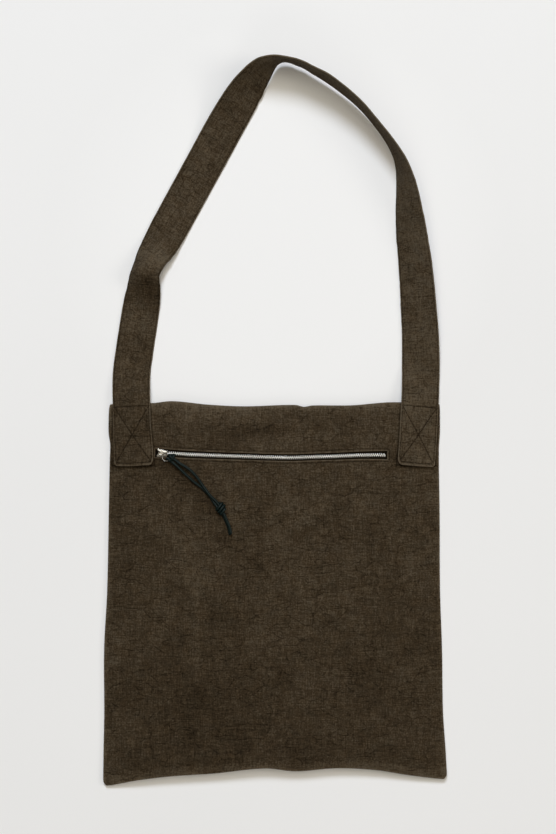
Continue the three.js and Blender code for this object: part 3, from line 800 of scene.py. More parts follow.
def nickel_material(name, dark, light, rough):
    """Plated metal, a little scuffed and dulled in patches."""
    material = new_material(name, metallic=1.0)
    place = node(material.node_tree, "TexCoord", {}, "Object")
    dull = noise_of(place, 350.0, 4.0, 0.6)
    scuff = noise_of(scaled(place, (400, 2600, 2600)), 1.0, 3.0, 0.7)
    colour = ramp(weighted(0.6, (dull, 0.7), (scuff, 0.3)), (0.2, dark), (0.7, light))
    roughness = weighted(rough, (dull, 0.2), (scuff, 0.2))
    return connect(material, colour, roughness, weighted(0.5, (scuff, 0.5), (dull, 0.5)), 0.00004)


def leather_material():
    """Dark blue-green leather lace: fine grain, lighter where it is rubbed."""
    material = new_material("leather", specular=0.2)
    place = node(material.node_tree, "TexCoord", {}, "Object")
    grain = node(place.tree, "TexVoronoi", {"Vector": place, "Scale": 2600.0}, "Distance")
    mottle = noise_of(place, 260.0, 4.0, 0.6)
    fleck = noise_of(place, 1500.0, 3.0, 0.7)
    tone = weighted(0.45, (mottle, 0.7), (fleck, 0.5), (grain, 0.2))
    dark, middle, light = (0.001, 0.0035, 0.003), (0.0026, 0.0098, 0.0083), (0.011, 0.029, 0.025)
    colour = ramp(tone, (0.1, dark), (0.6, middle), (1.0, light))
    roughness = weighted(0.45, (mottle, 0.25), (fleck, 0.2))
    return connect(material, colour, roughness, weighted(0.5, (grain, 0.6), (fleck, 0.4)), 0.00012)


def floor_material():
    """Pale matt floor with painted light: a little paler inside the strap's loop, where the loop's shade
    falls.
    """
    material = new_material("floor", specular=0.1)
    tree = material.node_tree
    place = node(tree, "TexCoord", {}, "Object")
    spot = node(tree, "Mapping", {"Vector": place, "Location": (-0.02, -0.8, 0), "Scale": (4, 4, 4)})
    # Painted light: a paler spot inside the strap's loop
    pale = node(tree, "TexGradient", {0: spot}, 1, gradient_type="SPHERICAL")
    tone = pale * 1.5 + noise_of(place, 1.5)
    colour = ramp(tone, (0.2, (0.86, 0.86, 0.855)), (1.0, (0.907, 0.907, 0.902)))
    shader = tree.nodes["Principled BSDF"]
    tree.links.new(colour.socket, shader.inputs["Base Color"])
    shader.inputs["Roughness"].default_value = 0.9
    return material


LINEN_COLOURS = ((0.011, 0.007, 0.003), (0.0434, 0.0302, 0.0166), (0.104, 0.081, 0.053))
THREAD_COLOURS = ((0.008, 0.005, 0.0022), (0.022, 0.015, 0.008), (0.06, 0.045, 0.028))
linen = linen_material("linen", *LINEN_COLOURS)
thread = linen_material("thread", *THREAD_COLOURS, thread_width=0.0004)
tape_cloth = tape_material()
teeth_metal = nickel_material("zip_teeth", (0.88, 0.87, 0.845), (0.99, 0.985, 0.965), 0.38)
nickel = nickel_material("nickel", (0.18, 0.17, 0.15), (0.42, 0.405, 0.37), 0.26)
leather = leather_material()


def add_camera():
    data = bpy.data.cameras.new("camera")
    data.sensor_width = SENSOR_MM
    data.lens = SENSOR_MM * CAMERA_HEIGHT / (FRAME_HEIGHT_PIXELS * PIXEL_SPAN)
    camera = bpy.data.objects.new("camera", data)
    camera.location = (*CAMERA_OVER, CAMERA_HEIGHT)
    bpy.context.scene.collection.objects.link(camera)
    bpy.context.scene.camera = camera


# The leather pull
KNOT_TURN = math.radians(-48)
KNOT_TILT = math.radians(15)
KNOT_REACH = 0.008
KNOT_RISE = 0.0008
KNOT_HALF_WIDE = 0.005
KNOT_HALF_HIGH = 0.003
KNOT_PITCH = 0.0033
HITCH_LEAN = 0.0018
TURN_RADIUS = LACE_DIAMETER / 2 * 0.92

# Half of the lace's loop round the ring: out along the lace, to its side and up, from the wire
HITCH_LOOP = metres(
    (3, 0, 3.6), (3, 1.8, 3.4), (2.6, 3.3, 2.2), (1.4, 3.6, 0.6), (0.2, 2.9, -1.3), (-1.4, 2.2, -1.4),
    (-2.2, 1.8, 0.2), (-1.4, 1.6, 1.7), (0.4, 1.5, 1.6), (2.2, 1.5, 0.6),
)


def knot_place():
    low, high = node_box("pull_knot")
    return (low + high) / 2


def lace_path(name):
    """One run of lace over the front cloth, lifted where it passes through the knot."""
    plan = smooth_path(np.stack(list(LACE_ROUTES[name].values()), axis=1), 0.001)
    away = np.hypot(plan[:, 0] - knot_place()[0], plan[:, 1] - knot_place()[1])
    lift = KNOT_RISE * bump(away, KNOT_REACH)
    plan[:, 2] += front_surface(plan[:, 0], plan[:, 1]) + LACE_DIAMETER / 2 + lift
    plan[:, 2] = np.convolve(np.pad(plan[:, 2], 4, mode="edge"), np.full(9, 1 / 9), mode="valid")
    return plan


def pull_laces():
    pieces = []
    for name, nodes in (
        ("pull_lace_upper", ("pull_strand_upper", "pull_tail_long")),
        ("pull_lace_lower", ("pull_strand_lower", "pull_tail_short")),
    ):
        path = lace_path(name)
        wobble = 1 + 0.05 * swell_noise(run_lengths(path) / 0.006, len(pieces) + 0.5)
        radius = LACE_DIAMETER / 2
        piece = add_piece(name, *tube(path, radius * wobble, 0.92 * radius * wobble, sides=16), leather)
        dress(piece, "leather", *nodes)
        pieces.append((piece, path))
    return pieces


def knot_piece():
    """Two turns of lace round the two runs, slanting across them."""
    middle = knot_place()
    middle[2] = front_surface(middle[0], middle[1]) + KNOT_HALF_HIGH + TURN_RADIUS
    along = np.array([math.cos(KNOT_TURN), math.sin(KNOT_TURN), 0])
    across = np.array([-math.sin(KNOT_TURN + KNOT_TILT), math.cos(KNOT_TURN + KNOT_TILT), 0])
    turns = np.linspace(-0.35, 2.35, 130)
    angle = 2 * math.pi * turns
    path = middle + np.outer((turns - 1) * KNOT_PITCH, along)
    path = path - np.outer(np.cos(angle) * KNOT_HALF_WIDE, across)
    path[:, 2] += np.sin(angle) * KNOT_HALF_HIGH
    return add_piece("pull_knot_turns", *tube(path, TURN_RADIUS, TURN_RADIUS), leather)


def hitch_piece():
    """The lace's loop round the ring: a bar across both runs, then over the wire, under it and back out."""
    ring_low, ring_high = node_box("pull_ring")
    starts = [np.array([route["x"][:2], route["y"][:2]]) for route in LACE_ROUTES.values()]
    run = np.mean(starts, axis=0)
    out = unit(run[:, 1] - run[:, 0])
    side = np.array([-out[1], out[0]])
    wire = np.array([ring_high[0] - 0.0007, (ring_low[1] + ring_high[1]) / 2 - 0.0010])
    loop = np.concatenate([HITCH_LOOP[:0:-1] * (1, -1, 1), HITCH_LOOP])
    leaning = loop[:, 1] * np.where(loop[:, 1] > 0, 1.2, 1)
    leaning += HITCH_LEAN * np.clip(loop[:, 0] / 0.003, 0, 1)
    plan = wire + np.outer(loop[:, 0], out) + np.outer(leaning, side)
    route = np.column_stack([plan, ring_high[2] - 0.0008 + loop[:, 2]])
    lace = tube(smooth_path(route, 0.0005), TURN_RADIUS, TURN_RADIUS * 0.85)
    return add_piece("pull_hitch_loop", *lace, leather)


def add_pull():
    laces = pull_laces()
    knot = knot_piece()
    hitch = hitch_piece()
    dress(knot, "leather", "pull_knot")
    dress(hitch, "leather", "pull_hitch")


# Cloth walls
def panel_plan(rows, columns, bands):
    """Plan points of a wall whose rows follow the given lines from bottom to top."""
    rough_half = 0.18
    x = np.broadcast_to(rough_half * (2 * columns - 1), (len(rows), len(columns)))
    band = np.broadcast_to(np.minimum(rows.astype(int), len(bands) - 2)[:, None], x.shape)
    share = rows[:, None] - band
    for _ in range(6):
        lines = [line(x) for line in bands]
        y = np.choose(band, lines[:-1]) * (1 - share) + np.choose(band, lines[1:]) * share
        low = left_side(y) + WALL / 2
        x = low + (right_side(y) - WALL / 2 - low) * columns
    return x, y


def nearer(first, second):
    """Whichever of two signed distances is the smaller one in size."""
    return np.where(np.abs(first) < np.abs(second), first, second)


def patch_flare(along):
    """How much wider the left end's inner edge gets towards its lower corner."""
    return 0.0017 * (1 - smoothstep(along, 0.012, 0.05))


def from_patches(x, y):
    """Signed distance outside the outline of the strap's two ends, as they lie on the front wall."""
    result = np.full(np.broadcast(x, y).shape, 1.0)
    for rows, flared in ((slice(0, 6), 1), (slice(-1, -7, -1), 0)):
        up = STRAP_ROWS["y"][rows]
        middle = np.interp(y, up, STRAP_ROWS["x"][rows])
        beside = np.abs(x - middle) - STRAP_WIDTH / 2 - flared * patch_flare(y - up[0])
        result = nearer(result, np.maximum(beside, up[0] - y))
    return result


def edge_wear(*distances):
    """Fading along edges: 1 on an edge, nothing a few millimetres away."""
    return np.max([bump(distance, 0.0022) for distance in distances], axis=0)


def cloth_piece(name, points, faces, thick, cloth, wear, seam, material):
    all_points, all_faces, origin = shell(points, faces, thick)
    # How much lighter or darker each point is: worn lightening, with painted light and shade in the same
    # values
    fading_and_painted_light = wear[origin]
    rings = fading_and_painted_light[2 * len(points):].reshape(RIM_STEPS, -1)
    turn = np.arange(1, RIM_STEPS + 1) / (RIM_STEPS + 1)
    # Worn lighter, and a painted highlight, on the upper half of each rim
    rings += RIM_FADE_AND_PAINTED_HIGHLIGHT * (1 - smoothstep(turn, 0.5, 0.8))[:, None]
    lines = {"cloth": cloth[origin], "wear": fading_and_painted_light, "seam": seam[origin]}
    return add_piece(name, all_points, all_faces, material, **lines)


def painted_lace_shadow(x, y):
    """Painted shadow of the lace on the cloth, a little to the lower left of its runs."""
    shade = np.zeros_like(x)
    for route in LACE_ROUTES.values():
        for spot_x, spot_y in zip(route["x"], route["y"]):
            shade = np.maximum(shade, bump(np.hypot(x - spot_x + 0.006, y - spot_y + 0.005), 0.008))
    return shade


def front_wear(x, y):
    """Lightening and darkening of the front: worn edges, painted light and shade on its creases, folds, top
    hem and bottom seam, the painted shadows of the lace and of the strap's ends, and broad lighter and
    darker parts.
    """
    above = y - bottom_edge(x)
    below = top_edge(x) - y
    sides = np.minimum(x - left_side(y), right_side(y) - x)
    coarse, fine = crease_pattern(x, y)
    wear = 0.65 * np.maximum(edge_wear(sides, above, below), SLOT_FADE * edge_wear(from_slot(x, y)))
    # Painted light on the creases' ridges and painted shade in their valleys
    wear += 0.15 * coarse + 0.09 * fine
    # Darker towards the bottom, and the lace's painted shadow
    wear -= 0.14 * smoothstep(-y, 0.16, 0.36) + 0.3 * painted_lace_shadow(x, y)
    wear += 0.14 * bump(x, 0.1) * bump(y + 0.19, 0.08) + 0.12 * smoothstep(y, -0.03, -0.01)
    # Painted highlight along the top hem
    wear += 0.3 * bump(below - 0.001, 0.003) + 0.25 * bump(below - 0.004, 0.008)
    # Painted highlight on the lip over the bottom seam, and painted shade a little above it
    wear += 0.4 * bump(above - 0.006, 0.006) - 0.15 * bump(above - 0.024, 0.009)
    # Painted shadow on the front just below the strap's two ends
    wear -= 0.5 * bump(from_patches(x, y) - 0.001, 0.0018) * smoothstep(-y, 0.036, 0.044)
    # Painted light and shade along the longer folds, and broad lighter and darker patches
    for x0, y0, x1, y1, width, fade in zip(*FOLD_LIGHT_AND_SHADE_LINES.values()):
        wear += fade * bump(line_distance(x, y, (x0, y0), (x1, y1)), width)
    return wear


def front_piece():
    """The front wall as a grid of rows and columns, with the cells of the zip's slot left out."""
    at_zip = zip_line(0)
    low = left_side(at_zip) + WALL / 2
    width = right_side(at_zip) - WALL / 2 - low
    stops = (0, (ZIP_LEFT - WALL / 2 - low) / width, (ZIP_RIGHT + WALL / 2 - low) / width, 1)
    parts = [spread(start, stop, PANEL_STEP / width) for start, stop in zip(stops[:-1], stops[1:])]
    columns = np.concatenate([parts[0], parts[1][1:], parts[2][1:]])
    lower = spread(0, 1, PANEL_STEP / 0.345, 0.6)
    upper = spread(2, 3, PANEL_STEP / 0.052, 0.4)
    slot_rows = np.linspace(1, 2, 4)
    rows = np.concatenate([lower, slot_rows[1:-1], upper])
    bands = [
        lambda x: bottom_edge(x) + WALL / 2,
        lambda x: zip_line(x) - slot_half(x) - WALL / 2,
        lambda x: zip_line(x) + slot_half(x) + WALL / 2,
        lambda x: top_edge(x) - (WALL + HEM_EXTRA) / 2,
    ]
    x, y = panel_plan(rows, columns, bands)
    faces = grid_faces(*x.shape)
    first_row = len(lower) - 1
    first_column = len(parts[0]) - 1
    keep = np.ones(faces.shape[:2], bool)
    keep[first_row:first_row + len(slot_rows) - 1, first_column:first_column + len(parts[1]) - 1] = False
    used, faces = np.unique(faces[keep], return_inverse=True)
    faces = faces.reshape(-1, 4)
    x = x.ravel()[used]
    y = y.ravel()[used]
    thick = front_thickness(x, y)
    points = np.stack([x, y, front_under(x, y) + thick / 2 + front_relief(x, y)], axis=1)
    # Stitched line beside the zip's slot, and just outside the strap's two ends a painted shade line where
    # they meet the front
    seam = nearer(from_slot(x, y) - ZIP_STITCH_OFFSET, from_patches(x, y) - 0.0006)
    cloth = np.stack([x, y, np.zeros_like(x)], axis=1)
    return cloth_piece("front_cloth", points, faces, thick, cloth, front_wear(x, y), seam, linen)


def back_piece():
    columns = spread(0, 1, BACK_STEP / 0.37)
    rows = spread(0, 1, BACK_STEP / 0.4)
    bands = [lambda x: bottom_edge(x) + WALL / 2, lambda x: top_edge(x) - WALL / 2]
    x, y = panel_plan(rows, columns, bands)
    faces = grid_faces(*x.shape).reshape(-1, 4)
    x = x.ravel()
    y = y.ravel()
    lift = 0.25 * np.maximum(crumple(x + 1, y + 1), 0) * front_crown(x, y)
    points = np.stack([x, y, back_under(x, y) + WALL / 2 + lift], axis=1)
    wear = 0.6 * edge_wear(x - left_side(y), right_side(y) - x, y - bottom_edge(x), top_edge(x) - y)
    cloth = np.stack([x + 1, y + 1, np.zeros_like(x)], axis=1)
    return cloth_piece("back_cloth", points, faces, WALL, cloth, wear, np.ones(len(x)), linen)


class StrapSurface:
    """The strap's middle surface as a grid: rows along it, columns from its inner to its outer edge."""

    def __init__(self):
        plan = np.stack([STRAP_ROWS["x"], STRAP_ROWS["y"], STRAP_ROWS["lift"]], axis=1)
        pose = np.stack([STRAP_ROWS["roll"], STRAP_ROWS["arch"]], axis=1)
        dense = np.linspace(0, 1, 6000)
        lengths = run_lengths(catmull_rom(plan, dense, 0.5))
        self.length = lengths[-1]
        count = round((self.length - 2 * PATCH_LENGTH) / STRAP_STEP)
        patch = np.linspace(0, PATCH_LENGTH, round(PATCH_LENGTH / PATCH_STEP) + 1)
        free = np.linspace(PATCH_LENGTH, self.length - PATCH_LENGTH, count + 1)
        self.along = np.concatenate([patch[:-1], free, self.length - patch[-2::-1]])
        half = STRAP_WIDTH / 2 - STRAP_THICKNESS / 2
        stitch = STRAP_WIDTH / 2 - STRAP_STITCH_INSET
        inner = np.arange(0, stitch - 0.0009, STRAP_COLUMN)
        positive = np.concatenate([inner, [stitch - 0.0006, stitch, (stitch + half) / 2, half]])
        self.across = np.concatenate([-positive[:0:-1], positive])
        t = np.interp(self.along, lengths, dense)
        middle = catmull_rom(plan, t, 0.5)
        heading = unit(np.gradient(middle[:, :2], self.along, axis=0))
        roll, arch = catmull_rom(pose, t, 0).T
        self.standing = smoothstep(roll, 35, 75)
        self.build(middle, heading, np.radians(roll), arch)

    def build(self, middle, heading, roll, arch):
        """Lays the grid out, keeps it off what it lies on and lifts its two ends."""
        flat = np.zeros(len(middle))
        out = np.stack([-heading[:, 1], heading[:, 0], flat], axis=1)
        facing = -np.sin(roll)[:, None] * out
        facing[:, 2] = np.cos(roll)
        across = np.cos(roll)[:, None] * out
        across[:, 2] = np.sin(roll)
        low = (STRAP_WIDTH * np.abs(np.sin(roll)) + STRAP_THICKNESS * np.abs(np.cos(roll))) / 2
        centre = middle + np.stack([flat, flat, low], axis=1)
        span = 1 - 8 / 3 * (arch / STRAP_WIDTH) ** 2
        share = self.across / (STRAP_WIDTH / 2)
        points = centre[:, None] + across[:, None] * (self.across * span[:, None])[..., None]
        points = points + facing[:, None] * (arch[:, None] * (1 - share**2))[..., None]
        points[..., :2] += self.end_shape()[..., None] * heading[:, None]
        widened = np.outer(patch_flare(self.along), np.clip(-self.across / self.across[-1], 0, 1))
        points[..., :2] -= widened[..., None] * out[:, None, :2]
        support = strap_support(points[..., 0], points[..., 1]) + STRAP_THICKNESS / 2
        points[..., 2] += np.maximum(support - points[..., 2], 0)
        from_end = np.minimum(self.along, self.length - self.along)
        points[..., 2] += (END_LIFT * np.maximum(1 - from_end / END_REACH, 0) ** 2)[:, None]
        self.points = points
        self.faces = grid_faces(*points.shape[:2]).reshape(-1, 4)[:, ::-1]
        self.settle()

    def end_shape(self):
        """How far each point near an end moves along the strap: rounded corners and a wavy end."""
        half = self.across[-1]
        radius = np.where(self.across < 0, 0.0048, 0.0018)
        past = np.maximum(np.abs(self.across) - (half - radius), 0)
        inset = radius - np.sqrt(np.maximum(radius**2 - past**2, 0))
        start, end = (inset + 0.0006 * swell_noise(self.across / 0.014, row) for row in (2.5, 6.5))
        near_start = np.maximum(1 - self.along / 0.009, 0)
        near_end = np.maximum(1 - (self.length - self.along) / 0.009, 0)
        return np.outer(near_start, start) - np.outer(near_end, end)

    def settle(self):
        normals = vertex_normals(self.points.reshape(-1, 3), self.faces)
        self.normals = normals.reshape(self.points.shape)

    def at(self, along, across, side):
        """Points and outward normals on one face of the strap: side 1 is its front and -1 its back."""
        row = np.interp(along, self.along, np.arange(len(self.along)))
        column = np.interp(across, self.across, np.arange(len(self.across)))
        r = np.minimum(row.astype(int), len(self.along) - 2)
        c = np.minimum(column.astype(int), len(self.across) - 2)
        fr = (row - r)[:, None]
        fc = (column - c)[:, None]

        def blend(grid):
            low = grid[r, c] * (1 - fc) + grid[r, c + 1] * fc
            high = grid[r + 1, c] * (1 - fc) + grid[r + 1, c + 1] * fc
            return low * (1 - fr) + high * fr

        normals = unit(blend(self.normals))
        return blend(self.points) + side * normals * blend(self.thick[..., None]) / 2, side * normals


def patch_lines(length):
    """Box and cross of stitching on both ends of the strap, as pairs of (along, across) points."""
    edge = STRAP_WIDTH / 2 - STRAP_STITCH_INSET
    depth = PATCH_TOP - STRAP_ROWS["y"][0]
    lines = []
    for near, far in ((STRAP_STITCH_INSET, depth), (length - STRAP_STITCH_INSET, length - depth)):
        for start, end in ((near, near), (far, far), (near, far)):
            lines.append(((start, -edge), (end, edge)))
        lines.append(((near, edge), (far, -edge)))
    return lines


def strap_wear(along, across, standing, folds, free):
    """Lightening and darkening of the strap: worn rims with a painted highlight, painted light and shade on
    its folds, painted light on its standing arch, and painted light above and painted shade below its kink.
    """
    # Worn, lighter strip just inside each edge, with a painted highlight in it
    ridge = bump(STRAP_WIDTH / 2 - np.abs(across) - 0.0008, 0.0007)
    inner = smoothstep(-across, -0.014, 0.004)
    # Base lightening, the rims' painted highlight, painted light and shade on the folds, painted light on
    # the standing arch
    wear = STRAP_FADE + (0.4 + 0.7 * free) * ridge + 0.15 * folds * free + 0.36 * standing
    # More painted light on the standing arch towards its two edges
    wear += (0.4 * smoothstep(across, 0.007, 0.016) + 0.2 * smoothstep(-across, 0.009, 0.018)) * standing
    wear += 0.2 * smoothstep(along, 0.6, 0.8) - 0.2 * (1 - smoothstep(along, 0.05, 0.09))
    # Painted light above the kink and painted shade below it
    wear += (0.2 + 0.3 * inner) * bump(along - KINK - 0.022, 0.014)
    return wear - (0.1 + 0.55 * inner) * bump(along - KINK + 0.018, 0.015)


def strap_piece():
    surface = StrapSurface()
    along, across = np.meshgrid(surface.along, surface.across, indexing="ij")
    edge = STRAP_WIDTH / 2 - STRAP_STITCH_INSET
    seam = np.hypot(np.abs(across) - edge, EDGE_SEAM_FADE)
    for start, end in patch_lines(surface.length):
        seam = nearer(seam, line_distance(along, across, start, end))
    away = np.abs(seam)
    sunk = bump(away, GROOVE_WIDTH * 0.8)
    from_end = np.minimum(along, surface.length - along)
    free = smoothstep(from_end, 0.06, 0.1)
    puff = PATCH_PUFF * (1 - bump(away, 0.0045)) * (1 - smoothstep(from_end, 0.064, 0.068))
    swell = 0.00018 * swell_noise(along / 0.012, across / 0.012 + 9)
    folds = crease_sign(along + 5, across + 5) * creases(along + 5, across * 0.7 + 5, COARSE_CREASE)
    wrinkle = 0.0006 * folds + 0.0004 * swell_noise(along / 0.03, across / 0.02)
    gather = 0.0003 * pucker_noise(along / 0.007, np.sign(across) * 3)
    gather = gather * smoothstep(np.abs(across), 0.013, 0.02)
    standing = surface.standing[:, None]
    kink = KINK_HEIGHT * bump(along - KINK, 0.009) * (1 - (across / STRAP_WIDTH * 2) ** 2)
    relief = (wrinkle + gather) * free * (1 - 0.8 * standing) + kink
    surface.points = surface.points + surface.normals * relief[..., None]
    lowest = 0.0002 + STRAP_THICKNESS / 2 * np.abs(surface.normals[..., 2])
    surface.points[..., 2] = np.maximum(surface.points[..., 2], lowest)
    surface.thick = STRAP_THICKNESS + puff + swell * (1 - sunk) - 2 * GROOVE * sunk
    surface.settle()
    wear = strap_wear(along, across, standing, folds, free)
    cloth = np.stack([across + 2, along + 2, np.zeros_like(along)], axis=-1).reshape(-1, 3)
    points = surface.points.reshape(-1, 3)
    lines = (cloth, wear.ravel(), seam.ravel())
    piece = cloth_piece("strap_cloth", points, surface.faces, surface.thick.ravel(), *lines, linen)
    return piece, surface


def thread_piece(name, rows):
    points, faces = joined(rows)
    plain = np.zeros(len(points))
    return add_piece(name, points, faces, thread, cloth=points, wear=plain, seam=plain + 1)


def strap_stitching(surface):
    edge = STRAP_WIDTH / 2 - STRAP_STITCH_INSET
    along = np.linspace(STRAP_STITCH_INSET, surface.length - STRAP_STITCH_INSET, 2000)
    rows = []
    for side in (1, -1):
        for across in (edge, -edge):
            rows.append(stitch_row(*surface.at(along, np.full_like(along, across), side)))
    for start, end in patch_lines(surface.length):
        along, across = np.linspace(start, end, 60).T
        rows.append(stitch_row(*surface.at(along, across, 1)))
    return thread_piece("strap_stitching", rows)


def zip_stitching():
    left = ZIP_LEFT - ZIP_STITCH_END
    right = ZIP_RIGHT + ZIP_STITCH_END
    across = np.linspace(left, right, 300)
    off = slot_half(across) + ZIP_STITCH_OFFSET
    shares = np.linspace(-1, 1, 30)
    runs = [(across, zip_line(across) + side * off) for side in (1, -1)]
    runs += [(np.full(30, end), zip_line(end) + off[i] * shares) for i, end in ((0, left), (-1, right))]
    rows = []
    for x, y in runs:
        line = np.stack([x, y, front_surface(x, y)], axis=1)
        rows.append(stitch_row(line, np.broadcast_to([0.0, 0.0, 1.0], line.shape)))
    return thread_piece("zip_stitching", rows)


def add_cloth():
    front = front_piece()
    back = back_piece()
    strap, surface = strap_piece()
    strap_thread = strap_stitching(surface)
    zip_thread = zip_stitching()
    dress(front, "linen", "front_panel")
    dress(back, "linen", "back_panel")
    dress(strap, "linen", "strap")
    dress(strap_thread, "linen")
    dress(zip_thread, "linen")


# Zip
# Sections of one tooth from its tip to its clamped root: place across the zip, half width and half height
TOOTH_SECTIONS = metres(
    (-0.66, 0.2, 0.45), (-0.48, 0.4, 0.75), (-0.1, 0.5, 0.9), (0.4, 0.54, 0.92), (1, 0.53, 0.92),
    (1.5, 0.5, 0.9), (1.9, 0.42, 0.8), (2.08, 0.26, 0.55),
)
TOOTH_SIDES = 10
TOOTH_SQUARED = 0.45


def tape_top(x, y):
    return front_under(x, y) - GAP


def tape_middle(x):
    return tape_top(x, zip_line(x)) - TAPE_THICKNESS / 2


def tape_piece(name, side):
    x = np.linspace(ZIP_LEFT - TAPE_OVERRUN, ZIP_RIGHT + TAPE_OVERRUN, 180)
    off = np.linspace(TAPE_INNER + TAPE_THICKNESS / 2, TAPE_OUTER, 12)
    off = off if side > 0 else -off[::-1]
    grid_x, grid_off = np.meshgrid(x, off)
    y = zip_line(grid_x) + grid_off
    z = tape_top(grid_x, y) - TAPE_THICKNESS / 2
    points = np.stack([grid_x, y, z], axis=-1).reshape(-1, 3)
    faces = grid_faces(*grid_x.shape).reshape(-1, 4)
    cloth = np.stack([grid_x, grid_off, z * 0], axis=-1).reshape(-1, 3)
    plain = np.zeros(len(points))
    return cloth_piece(name, points, faces, TAPE_THICKNESS, cloth, plain, plain + 1, tape_cloth)


def tooth():
    """One tooth as (along, across, up) points: rounded sections from the tip to the root."""
    angle = np.linspace(0, 2 * math.pi, TOOTH_SIDES, endpoint=False) + math.pi / TOOTH_SIDES
    wide, high = (np.sign(part) * np.abs(part) ** TOOTH_SQUARED for part in (np.cos(angle), np.sin(angle)))
    rings = [np.stack([wide * half, wide * 0 + off, high * up], axis=1) for off, half, up in TOOTH_SECTIONS]
    return lofted(np.array(rings))


def teeth_piece(name, side):
    points, faces = tooth()
    count = int((ZIP_RIGHT - TEETH_LEFT) / TOOTH_PITCH)
    start = TEETH_LEFT + TOOTH_PITCH / 4 + (0 if side > 0 else TOOTH_PITCH / 2)
    along, across, up = points.T * ((side,), (side,), (1,))
    parts = []
    for i in range(count):
        x = start + i * TOOTH_PITCH
        slope = (zip_line(x + 0.001) - zip_line(x - 0.001)) / 0.002
        placed = [x + along - across * slope, zip_line(x) + across + along * slope, tape_middle(x) + up]
        parts.append((np.stack(placed, axis=1), faces))
    return add_piece(name, *joined(parts), teeth_metal)


# Slider: a fish-tailed outline from its middle, its bridge and its cheek; ring: its wire and its tilt
SLIDER_X = -0.1240
SLIDER_TURN = math.radians(-6)
SLIDER_CHANNEL = 0.0024
SLIDER_PLATE = 0.0011
SLIDER_OUTLINE = metres(
    (-3, 0, 0), (-4, 1.4, 0), (-5.4, 2.8, 0), (-5.4, 4.1, 0), (-4.1, 4.6, 0), (-2.4, 3.8, 0), (0.6, 3.4, 0),
    (4.4, 2.9, 0), (6, 2.2, 0), (6.3, 0, 0),
)
RING_WIRE = 0.0013
RING_TILT = math.radians(-14)
RING_JOINT = math.radians(200)
RING_GAP = 0.03


def slider_outline():
    mirrored = SLIDER_OUTLINE[-2:0:-1] * (1, -1, 1)
    corners = np.concatenate([SLIDER_OUTLINE, mirrored, SLIDER_OUTLINE[:1]])
    return smooth_path(corners, 0.0004)[:-1, :2]


def rounded_plate(outline, low, high, edge):
    """A plate of that outline with rounded edges, as points and faces."""
    middle = outline.mean(axis=0)
    reach = unit(outline - middle)
    levels = [(low, edge), (low + edge * 0.3, edge * 0.3), (low + edge, 0)]
    levels += [(high - edge, 0), (high - edge * 0.3, edge * 0.3), (high, edge)]
    count = len(outline)
    rings = [np.column_stack([outline - reach * inset, np.full(count, z)]) for z, inset in levels]
    faces = []
    for r in range(len(rings) - 1):
        for s in range(count):
            n = (s + 1) % count
            faces.append([r * count + s, r * count + n, (r + 1) * count + n, (r + 1) * count + s])
    points = np.concatenate(rings + [[[*middle, low]], [[*middle, high]]])
    bottom = len(points) - 2
    top = len(points) - 1
    last = (len(rings) - 1) * count
    for s in range(count):
        n = (s + 1) % count
        faces.append([n, s, bottom])
        faces.append([last + s, last + n, top])
    return points, faces


def slider_piece():
    half = SLIDER_CHANNEL / 2
    deck = half + SLIDER_PLATE
    outline = slider_outline()
    parts = [
        rounded_plate(outline, half, deck, 0.0004),
        rounded_plate(outline, -deck, -half, 0.0004),
        rounded_plate(outline * (0.3, 0.25) + (-0.0028, 0), -half - 0.0002, half + 0.0002, 0.0002),
    ]
    for side in (1, -1):
        rail = metres((-4.8, 4.1, 0), (-1, 3.6, 0), (5.6, 2.9, 0)) * (1, side, 1)
        for level in (half - 0.0002, -half + 0.0002):
            parts.append(tube(smooth_path(rail + (0, 0, level), 0.0006), 0.00035, 0.0004, sides=8))
    _, high = node_box("zip_slider")
    bridge_top = high[2] - tape_middle(SLIDER_X) - 0.0006
    bridge = [
        (-0.0036, 0.0017, deck - 0.0002),
        (-0.0037, 0.0017, deck + 0.0012),
        (-0.0034, 0.0017, bridge_top - 0.0006),
        (-0.0022, 0.0016, bridge_top),
        (0.0004, 0.0013, bridge_top + 0.0001),
        (0.0034, 0.0008, bridge_top),
        (0.0049, 0.0005, bridge_top - 0.0007),
        (0.0054, 0.0004, deck + 0.0010),
        (0.0054, 0.0004, deck - 0.0002),
    ]
    parts.append(tube(smooth_path(bridge, 0.0004), 0.0008, 0.0005, sides=14, up=(0, 1, 0)))
    cheek = [(-0.0030, -0.0019, deck), (0.0004, -0.0016, deck + 0.0001), (0.0046, -0.0011, deck)]
    parts.append(tube(smooth_path(cheek, 0.0005), 0.0007, 0.0006, sides=12))
    points, faces = joined(parts)
    x, y, z = points.T
    turned_x = x * math.cos(SLIDER_TURN) - y * math.sin(SLIDER_TURN) + SLIDER_X
    turned_y = x * math.sin(SLIDER_TURN) + y * math.cos(SLIDER_TURN) + zip_line(SLIDER_X)
    placed = np.stack([turned_x, turned_y, z + tape_middle(SLIDER_X)], axis=1)
    return add_piece("slider_body", placed, faces, nickel)


def ring_piece():
    """A wire ring with a fine butt joint, tilted up on its lace side."""
    low, high = node_box("pull_ring")
    radius = (high[1] - low[1] - RING_WIRE) / 2
    angle = RING_JOINT + np.linspace(RING_GAP, 2 * math.pi - RING_GAP, 64)
    x = np.cos(angle) * radius
    tilted = np.stack([x * math.cos(RING_TILT), np.sin(angle) * radius, -x * math.sin(RING_TILT)], axis=1)
    wire = tube((low + high) / 2 + tilted, RING_WIRE / 2, RING_WIRE / 2, cap_steps=2)
    return add_piece("ring_wire", *wire, nickel)


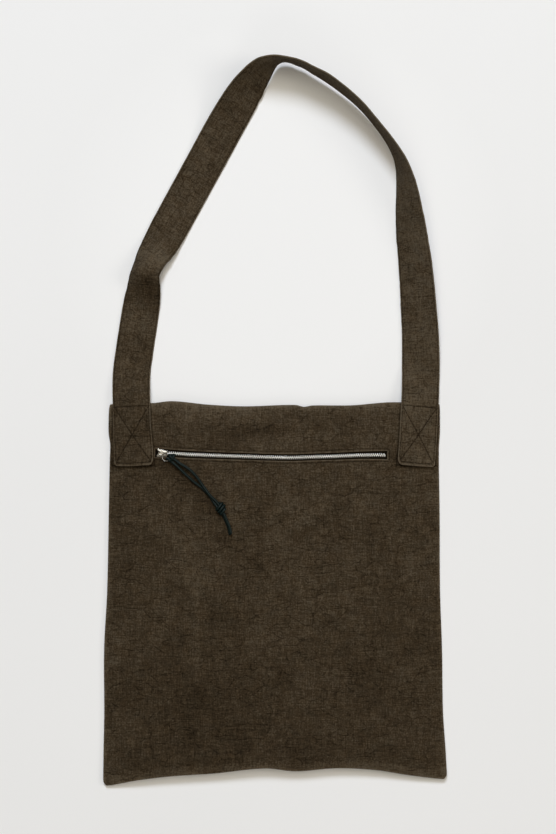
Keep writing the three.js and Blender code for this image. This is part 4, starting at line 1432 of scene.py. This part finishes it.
def add_zip():
    for side, word in ((1, "upper"), (-1, "lower")):
        dress(tape_piece(f"tape_{word}", side), "zip_tape", f"zip_tape_{word}")
        dress(teeth_piece(f"teeth_{word}", side), "zip_teeth", f"zip_teeth_{word}")
    dress(slider_piece(), "nickel", "zip_slider")
    dress(ring_piece(), "nickel", "pull_ring")


# Studio: pale floor, a soft key light from above the strap, a broad one behind it, weak ones from the right
# and from below the bag, and warm light overhead
FLOOR_HALF = 6.0
HORIZON = (0.06, 0.056, 0.05)
ZENITH = (0.78, 0.70, 0.565)

# Lights: distance, turn from +Y towards +X and elevation in degrees, width and height, power and colour
LIGHTS = {
    "key": (7, -7, 49.5, (1.6, 2.2), 241, (0.91, 1, 1.165)),
    "broad": (6, -8, 68, (5, 5), 102, (1, 0.95, 0.835)),
    "side": (6, 88, 36, (2.6, 2.6), 62, (1, 0.95, 0.88)),
    "fill": (6, 180, 40, (3, 3), 29, (1, 0.97, 0.92)),
}


def add_light(name, distance, degrees, elevation, size, power, colour):
    """A round or oval soft light aimed at the middle of the floor."""
    data = bpy.data.lights.new(name, "AREA")
    data.shape = "ELLIPSE"
    data.size, data.size_y = size
    data.energy = power
    data.color = colour
    light = bpy.data.objects.new(name, data)
    turn = math.radians(degrees)
    rise = math.radians(elevation)
    reach = distance * math.cos(rise)
    light.location = (reach * math.sin(turn), reach * math.cos(turn), distance * math.sin(rise))
    light.rotation_euler = (rise - math.pi / 2, 0, -turn)
    bpy.context.scene.collection.objects.link(light)


def add_studio():
    half = FLOOR_HALF
    corners = [(-half, -half, 0), (half, -half, 0), (half, half, 0), (-half, half, 0)]
    floor = add_piece("floor", corners, [(0, 1, 2, 3)], floor_material())
    for name, spec in LIGHTS.items():
        add_light(name, *spec)
    world = bpy.data.worlds.new("surround")
    world.use_nodes = True
    tree = world.node_tree
    upward = part_of(node(tree, "TexCoord", {}, "Generated"), 2)
    sky = ramp(upward, (0.8, HORIZON), (0.95, ZENITH))
    tree.links.new(sky.socket, tree.nodes["Background"].inputs[0])
    bpy.context.scene.world = world
    bpy.context.scene.view_settings.view_transform = "Standard"


add_camera()
add_studio()
add_pull()
add_cloth()
add_zip()
